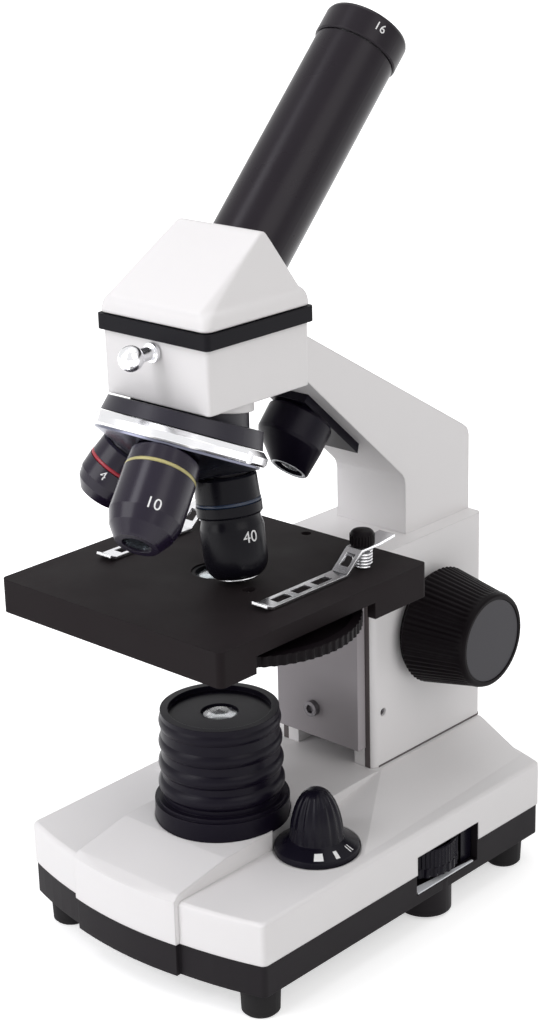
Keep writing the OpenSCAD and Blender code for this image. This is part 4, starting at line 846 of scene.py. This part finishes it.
@dataclass
class StageClips:
    """Wound springs and milled caps of the two stage clips."""

    ribs: RibTree
    x_mm: float = 32.0
    y_mm: float = 30.0
    stage_top_mm: float = 119.6
    rise_mm: float = 6.0
    cap_mm: float = 3.45

    def posts(self) -> list[Vector]:
        """Returns the two posts' feet on the stage."""
        return [spot(s * self.x_mm, self.y_mm, self.stage_top_mm) for s in (-1, 1)]

    def springs(self) -> None:
        """Winds both springs."""
        def feet(bm: bmesh.types.BMesh) -> None:
            """Adds the springs' starting points."""
            for foot in self.posts():
                bm.verts.new(foot + Vector((0.0, 0.0, 0.5 * MM)))

        obj = mesh_object("wound_springs", feet)
        height = (self.rise_mm - 1.2) * MM
        self.ribs.run(obj, self.ribs.coil(), [{"Radius": 2.7 * MM, "Height": height, "Turns": 5.0, "Wire": 0.4 * MM}],
                      CHROME)
        for face in obj.data.polygons:
            face.use_smooth = True
        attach(obj, "stage")
        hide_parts("clip_springs")

    def caps(self, low: float) -> None:
        """Builds both milled caps.

        Args:
            low: height of the caps' underside, in metres.
        """
        r = self.cap_mm
        outline = [(1.48, 0.0), (r, 0.0), (r + 0.1, 0.25), (r + 0.1, 3.4), (r - 0.05, 3.9), (r - 0.5, 4.35),
                   (r - 1.1, 4.55), (0.0001, 4.6), (0.0001, 3.5), (1.48, 3.5)]

        def turned(bm: bmesh.types.BMesh) -> None:
            """Turns the two bodies."""
            for foot in self.posts():
                spin(bm, outline, Matrix.Translation((foot.x, foot.y, low)) @ Matrix.Scale(MM, 4), 64)

        obj = mesh_object("milled_caps", turned)
        shade_by_angle(obj, 30.0)
        passes = [{"Center": Vector((foot.x, foot.y, low + 1.85 * MM)), "Radius": (r + 0.08) * MM,
                   "Height": 3.1 * MM, "Count": 24, "Rib": 0.26 * MM} for foot in self.posts()]
        self.ribs.run(obj, self.ribs.ribs(), passes, GRIP)
        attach(obj, "stage")
        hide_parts("clip_caps")

    def build(self) -> None:
        """Makes springs and caps."""
        self.springs()
        self.caps(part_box("clip_caps")[0].z)
        LOG.info("clips: 2 wound springs and 2 milled caps")


@dataclass
class DimmerSlot:
    """The dimmer wheel's ribbed skirt, the slot's pale lip, which is a painted highlight, and its dark liner."""

    ribs: RibTree
    x_mm: float = 36.1
    y_mm: float = 49.5
    low_mm: float = 18.4
    high_mm: float = 24.8
    inner_mm: float = 12.3
    outer_mm: float = 13.3

    def skirt(self) -> None:
        """Builds the ribbed skirt on the wheel."""
        r, low, high = self.outer_mm, self.low_mm, self.high_mm
        outline = [(self.inner_mm, low), (r, low), (r, high - 0.5), (r - 0.15, high - 0.15), (r - 0.5, high),
                   (self.inner_mm, high)]
        place = Matrix.Translation(spot(self.x_mm, self.y_mm, 0.0)) @ Matrix.Scale(MM, 4)
        obj = mesh_object("wheel_skirt", lambda bm: spin(bm, outline, place))
        shade_by_angle(obj, 30.0)
        self.ribs.run(obj, self.ribs.ribs(), [{
            "Center": spot(self.x_mm, self.y_mm, (low + high) / 2), "Radius": (r - 0.05) * MM,
            "Height": (high - low - 0.8) * MM, "Count": 60, "Rib": 0.3 * MM}], KNOB)
        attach(obj, "dimmer")

    def build(self) -> None:
        """Makes skirt, painted highlight lip and liner."""
        self.skirt()
        for name, corners, low, high, finish in (
            # The pale strip is a painted highlight for the glint on the slot's lower edge.
            ("slot_lip", [(49.0, 35.0), (49.0, 62.8), (48.4, 62.8), (45.6, 35.6)], 13.31, 13.75, PAINTED_HIGHLIGHT),
            ("slot_end", [(46.9, 64.45), (49.36, 64.45), (49.36, 64.78), (46.9, 64.78)], 13.4, 26.6, SHELL),
            ("slot_liner", [(46.2, 59.3), (46.7, 59.3), (46.7, 64.6), (46.2, 64.6)], 13.4, 26.4, KNOB),
        ):
            thin_plate(self.ribs.wardrobe, name, corners, low, high, finish)
        LOG.info("dimmer: ribbed skirt, lip and liner")


@dataclass
class FocusKnobs:
    """Both focus knobs, with fine flutes that run out before the flat end."""

    wardrobe: Wardrobe
    flutes: int = 60
    flute_mm: float = 0.28
    bore_mm: float = 3.1

    def knob(self, bm: bmesh.types.BMesh, side: int) -> None:
        """Adds one knob as a closed fluted body.

        Args:
            bm: the mesh to add to.
            side: 1 for the right knob, -1 for the left.
        """
        low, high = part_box("focus_knob_right" if side > 0 else "focus_knob_left")
        middle = (low + high) / 2
        near, far = (low.x, high.x) if side > 0 else (high.x, low.x)
        length = abs(far - near) / MM
        r = (high.z - low.z) / 2 / MM
        cap_low, cap_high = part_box("knob_caps")
        end = (cap_high.z - cap_low.z) / 2 / MM + 2.05
        outline = [(self.bore_mm, 0.0, 0), (r - 1.5, 0.0, 0), (r - 1.2, 0.25, 0), (r - 1.2, 1.5, 0),
                   (r - 0.25, 1.6, 1), (r, 1.9, 1)]
        outline += [(r + (end - r) * t, 1.9 + (length - 3.6) * t, 1) for t in (0.25, 0.5, 0.75, 0.92)]
        outline += [(end + 0.1, length - 1.5, 0), (end, length - 1.2, 0), (end - 0.35, length - 0.35, 0),
                    (end - 0.9, length, 0), (end - 1.8, length, 0), (end - 1.98, length - 0.15, 0),
                    (end - 1.98, length - 1.19, 0), (self.bore_mm, length - 1.19, 0)]
        rings = []
        for radius, along, fluted in outline:
            ring = []
            for a in angles(self.flutes * 8):
                q = radius - self.flute_mm * fluted * (0.5 - 0.5 * math.cos(a * self.flutes)) ** 1.4
                ring.append(bm.verts.new((near + side * along * MM, middle.y + q * math.cos(a) * MM,
                                          middle.z + q * math.sin(a) * MM)))
            rings.append(ring)
        loft(bm, rings, shut=True)

    def build(self) -> None:
        """Makes both knobs."""
        for name, side in (("right", 1), ("left", -1)):
            obj = mesh_object(f"fluted_knob_{name}", lambda bm, side=side: self.knob(bm, side))
            shade_by_angle(obj, 32.0)
            self.wardrobe.wear(obj, GRIP)
            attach(obj, "focus")
            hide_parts(f"focus_knob_{name}")
        LOG.info("focus: 2 fluted knobs")


@dataclass
class SoftHead:
    """The head's white cover with the soft creases of a moulded part."""

    wardrobe: Wardrobe
    voxel_mm: float = 0.4
    passes: int = 14

    def build(self) -> None:
        """Rebuilds the cover from a merged copy and relaxes its creases."""
        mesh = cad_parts["head_housing"].data.copy()
        bm = bmesh.new()
        bm.from_mesh(mesh)
        bmesh.ops.remove_doubles(bm, verts=bm.verts, dist=1e-6)
        bm.to_mesh(mesh)
        bm.free()
        obj = placed("soft_head", mesh)
        cast = obj.modifiers.new("cast", "REMESH")
        cast.mode = "VOXEL"
        cast.voxel_size = self.voxel_mm * MM
        relax = obj.modifiers.new("relax", "SMOOTH")
        relax.factor = 0.5
        relax.iterations = self.passes
        made = bpy.data.meshes.new_from_object(obj.evaluated_get(bpy.context.evaluated_depsgraph_get()))
        obj.modifiers.clear()
        obj.data = made
        bpy.data.meshes.remove(mesh)
        made.name = "soft_head"
        for face in made.polygons:
            face.use_smooth = True
        self.wardrobe.wear(obj, WHITE)
        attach(obj, "head")
        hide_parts("head_housing")
        LOG.info("head: soft cover with %d faces", len(made.polygons))


@dataclass
class StandTrim:
    """The painted shadow lines on the column, and the pale collar of painted highlight in the upper lamp."""

    wardrobe: Wardrobe
    column_w_mm: float = 40.0
    column_front_mm: float = 48.5
    column_back_mm: float = 104.5
    ridge_mm: float = 41.8
    gap_top_mm: float = 108.0
    gap_w_mm: float = 1.5
    corner_mm: float = 2.5
    lamp_y_mm: float = 33.3
    lamp_z_mm: float = 142.6
    lean_deg: float = 47.353

    def foot_shadow_line(self) -> None:
        """Sweeps a thin dark line round the column's foot, open at the slide's channel: a painted shadow in the joint.
        """
        half, r = self.column_w_mm / 2, self.corner_mm
        path = [(half, self.column_front_mm + r, 0.0)]
        for side, start in ((1, 0), (-1, 90)):
            for i in range(9):
                a = math.radians(start + i * 90 / 8)
                path.append((side * (half - r) + r * math.cos(a), self.column_back_mm - r + r * math.sin(a), a))
        path.append((-half, self.column_front_mm + r, math.pi))

        def fill(bm: bmesh.types.BMesh) -> None:
            """Joins one small outline after another."""
            rings = [[bm.verts.new(spot(x + out * math.cos(a), y + out * math.sin(a), self.ridge_mm + up))
                      for out, up in ((-0.3, 0.0), (0.16, 0.0), (0.2, 0.2), (0.14, 0.5), (-0.3, 0.62))]
                     for x, y, a in path]
            loft(bm, rings)
            bm.faces.new(rings[0])
            bm.faces.new(rings[-1])

        obj = mesh_object("column_foot_shadow", fill)
        shade_by_angle(obj, 40.0)
        self.wardrobe.wear(obj, PAINTED_SHADOW)
        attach(obj, "stand")

    def gap_shadow_line(self) -> None:
        """Lays a narrow dark line on the column's front along each side of the slide: a painted shadow in the gap."""
        low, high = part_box("stage_slide")
        half = (high.x - low.x) / 2 / MM
        front, back = self.column_front_mm - 0.07, self.column_front_mm + 0.2
        for name, side in (("right", 1), ("left", -1)):
            inner, outer = side * (half - 0.6), side * (half + self.gap_w_mm)
            corners = [(inner, front), (outer, front), (outer, back), (inner, back)]
            thin_plate(self.wardrobe, f"slide_gap_{name}", corners, self.ridge_mm + 0.05, self.gap_top_mm, PAINTED_SHADOW)

    def collar(self) -> None:
        """Sets a pale collar, wider at its lower side, in the upper lamp's front; its pale colour is a painted
        highlight for the glint on the opening's lower lip.
        """
        place = Matrix.Translation(spot(0.0, self.lamp_y_mm, self.lamp_z_mm))
        place = place @ Matrix.Rotation(math.radians(self.lean_deg - 90.0), 4, "X") @ Matrix.Scale(MM, 4)

        def fill(bm: bmesh.types.BMesh) -> None:
            """Lofts the collar between its outer and its shifted inner edge."""
            rings = []
            for a in angles(72):
                ox, oy = 5.7 * math.cos(a), 5.7 * math.sin(a)
                ix, iy = 0.4 + 4.7 * math.cos(a), -0.45 + 4.7 * math.sin(a)
                mx, my = (ox + ix) / 2, (oy + iy) / 2
                rings.append([bm.verts.new(place @ Vector(p)) for p in
                              ((ox, oy, 0.1), (ox, oy, -0.06), (mx, my, -0.16), (ix, iy, -0.06), (ix, iy, 0.1))])
            loft(bm, rings, shut=True)

        obj = mesh_object("lamp_collar_painted_glint", fill)
        # The collar's pale colour is a painted highlight.
        self.wardrobe.wear(obj, PAINTED_HIGHLIGHT)
        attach(obj, "stand")

    def build(self) -> None:
        """Makes the painted shadow lines and the painted highlight collar."""
        self.foot_shadow_line()
        self.gap_shadow_line()
        self.collar()
        LOG.info("stand: shadow lines and lamp collar")


@dataclass
class Studio:
    """Plain floor, soft lamps, white background and the camera of the view."""

    azimuth: float = 43.08
    elevation: float = 19.47
    roll: float = -1.49
    distance_mm: float = 641.66
    focal_px: float = 2131.69
    target_px: tuple[float, float] = (259.31, 511.98)
    image_px: tuple[int, int] = (541, 1024)
    look_mm: Color = (0.0, 20.0, 132.4)
    sensor_mm: float = 36.0

    def camera(self) -> None:
        """Sets the camera at the fitted viewing angle."""
        az, el, roll = (math.radians(v) for v in (self.azimuth, self.elevation, self.roll))
        back = Vector((math.sin(az) * math.cos(el), -math.cos(az) * math.cos(el), math.sin(el)))
        right = Vector((math.cos(az), math.sin(az), 0.0))
        up = back.cross(right)
        level = right * math.cos(roll) + up * math.sin(roll)
        upright = up * math.cos(roll) - right * math.sin(roll)
        reach = self.distance_mm * MM
        off_x = (self.target_px[0] - self.image_px[0] / 2) / self.focal_px * reach
        off_y = -(self.target_px[1] - self.image_px[1] / 2) / self.focal_px * reach
        place = spot(*self.look_mm) + back * reach - level * off_x - upright * off_y
        data = bpy.data.cameras.new("view_camera")
        data.sensor_width = self.sensor_mm
        data.lens = self.focal_px * self.sensor_mm / self.image_px[1]
        data.clip_start = 0.01
        obj = placed("view_camera", data)
        obj.matrix_world = Matrix((level, upright, back)).transposed().to_4x4()
        obj.matrix_world.translation = place
        bpy.context.scene.camera = obj

    @staticmethod
    def _lamp(name: str, place: Color, watts: float, tint: Color, aim: Color = (0.0, 0.0, 0.13), kind: str = "AREA",
              **settings: float) -> None:
        """Adds a soft lamp.

        Args:
            name: the lamp's name.
            place: where it stands, in metres.
            watts: its power.
            tint: its colour.
            aim: the point that it faces, in metres.
            kind: the type of its light.
            settings: the other settings of its light.
        """
        data = bpy.data.lights.new(name, kind)
        data.energy = watts
        data.color = tint
        for label, value in settings.items():
            setattr(data, label, value)
        obj = placed(name, data)
        obj.location = place
        obj.rotation_euler = (Vector(aim) - Vector(place)).to_track_quat("-Z", "Y").to_euler()

    @staticmethod
    def _seen(tree: bpy.types.NodeTree) -> bpy.types.NodeSocket:
        """Returns 1 for what the camera, a lens or a gloss shows, and 0 for what lights the object."""
        rays = add(tree, "ShaderNodeLightPath").outputs
        seen = maths(tree, "MAXIMUM", rays["Is Camera Ray"], rays["Is Transmission Ray"])
        return maths(tree, "MAXIMUM", seen, rays["Is Glossy Ray"])

    def lights(self) -> None:
        """Sets the lamps and the world."""
        self._lamp("key_lamp", (-0.50, -1.25, 0.62), 7.2, (0.98, 0.98, 1.0), size=0.9)
        self._lamp("side_lamp", (0.75, -0.10, 0.66), 1.8, (1.0, 0.975, 0.97), size=0.6)
        self._lamp("top_lamp", (0.0, 0.2, 1.4), 2.8, (0.985, 0.985, 1.0), size=0.9)
        self._lamp("high_lamp", (-0.32, -0.61, 1.23), 2.3, (0.95, 0.94, 1.0), size=0.4)
        self._lamp("base_lamp", (-0.22, -0.75, 0.75), 10.5, (0.97, 0.965, 1.0), (0.0, -0.03, 0.03), "SPOT",
                   spot_size=math.radians(19.0), spot_blend=1.0, shadow_soft_size=0.16)
        world = bpy.data.worlds.new("studio_world")
        world.use_nodes = True
        tree = world.node_tree
        sky = set_inputs(tree.nodes["Background"], Color=(1.0, 1.0, 1.0, 1.0))
        level = add(tree, "ShaderNodeMapRange", To_Min=0.49, To_Max=1.0)
        tree.links.new(self._seen(tree), level.inputs["Value"])
        link(tree, (level, 0, sky, "Strength"))
        bpy.context.scene.world = world

    def floor(self) -> None:
        """Lays the pale floor, which shows white and keeps the object's shadow."""
        def plate(bm: bmesh.types.BMesh) -> None:
            """Adds one large square."""
            bmesh.ops.create_grid(bm, x_segments=1, y_segments=1, size=8.0)

        obj = mesh_object("studio_floor", plate, smooth=False)
        mat = bpy.data.materials.new("pale_floor")
        mat.use_nodes = True
        tree = mat.node_tree
        shader = set_inputs(tree.nodes["Principled BSDF"], Base_Color=(0.86, 0.86, 0.86, 1.0), Roughness=0.9)
        glow = add(tree, "ShaderNodeEmission")
        place = add(tree, "ShaderNodeTexCoord")
        away = add(tree, "ShaderNodeVectorMath")
        away.operation = "LENGTH"
        spread = add(tree, "ShaderNodeMapRange", From_Min=0.12, From_Max=0.36, To_Min=0.54, To_Max=0.95)
        both = add(tree, "ShaderNodeAddShader")
        tree.links.new(maths(tree, "MULTIPLY", self._seen(tree), spread.outputs[0]), glow.inputs["Strength"])
        link(tree, (place, "Object", away, 0), (away, "Value", spread, "Value"), (shader, 0, both, 0),
             (glow, 0, both, 1), (both, 0, tree.nodes["Material Output"], "Surface"))
        obj.data.materials.append(mat)

    def build(self) -> None:
        """Makes floor, lamps, world and camera."""
        self.floor()
        self.lights()
        self.camera()
        bpy.context.scene.view_settings.view_transform = "Standard"
        LOG.info("studio: floor, 5 lamps, camera")


def dress_nodes(wardrobe: Wardrobe, names: Iterable[str]) -> None:
    """Gives every carried-over node its finish.

    Args:
        wardrobe: where the materials come from.
        names: the CAD nodes.
    """
    for name in names:
        wardrobe.wear(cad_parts[name], NODE_FINISH[name])
    LOG.info("dressed %d nodes", len(NODE_FINISH))


def main() -> None:
    """Builds the dressed microscope and its studio."""
    logging.basicConfig(level=logging.INFO)
    wardrobe = Wardrobe(NodeRack())
    dress_nodes(wardrobe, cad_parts)
    for part in (NosepieceFigures, EyepieceFigure, LightDial, FocusKnobs, SoftHead, StandTrim):
        part(wardrobe).build()
    ribs = RibTree(wardrobe)
    StageClips(ribs).build()
    DimmerSlot(ribs).build()
    Studio().build()


if __name__ == "__main__":
    main()
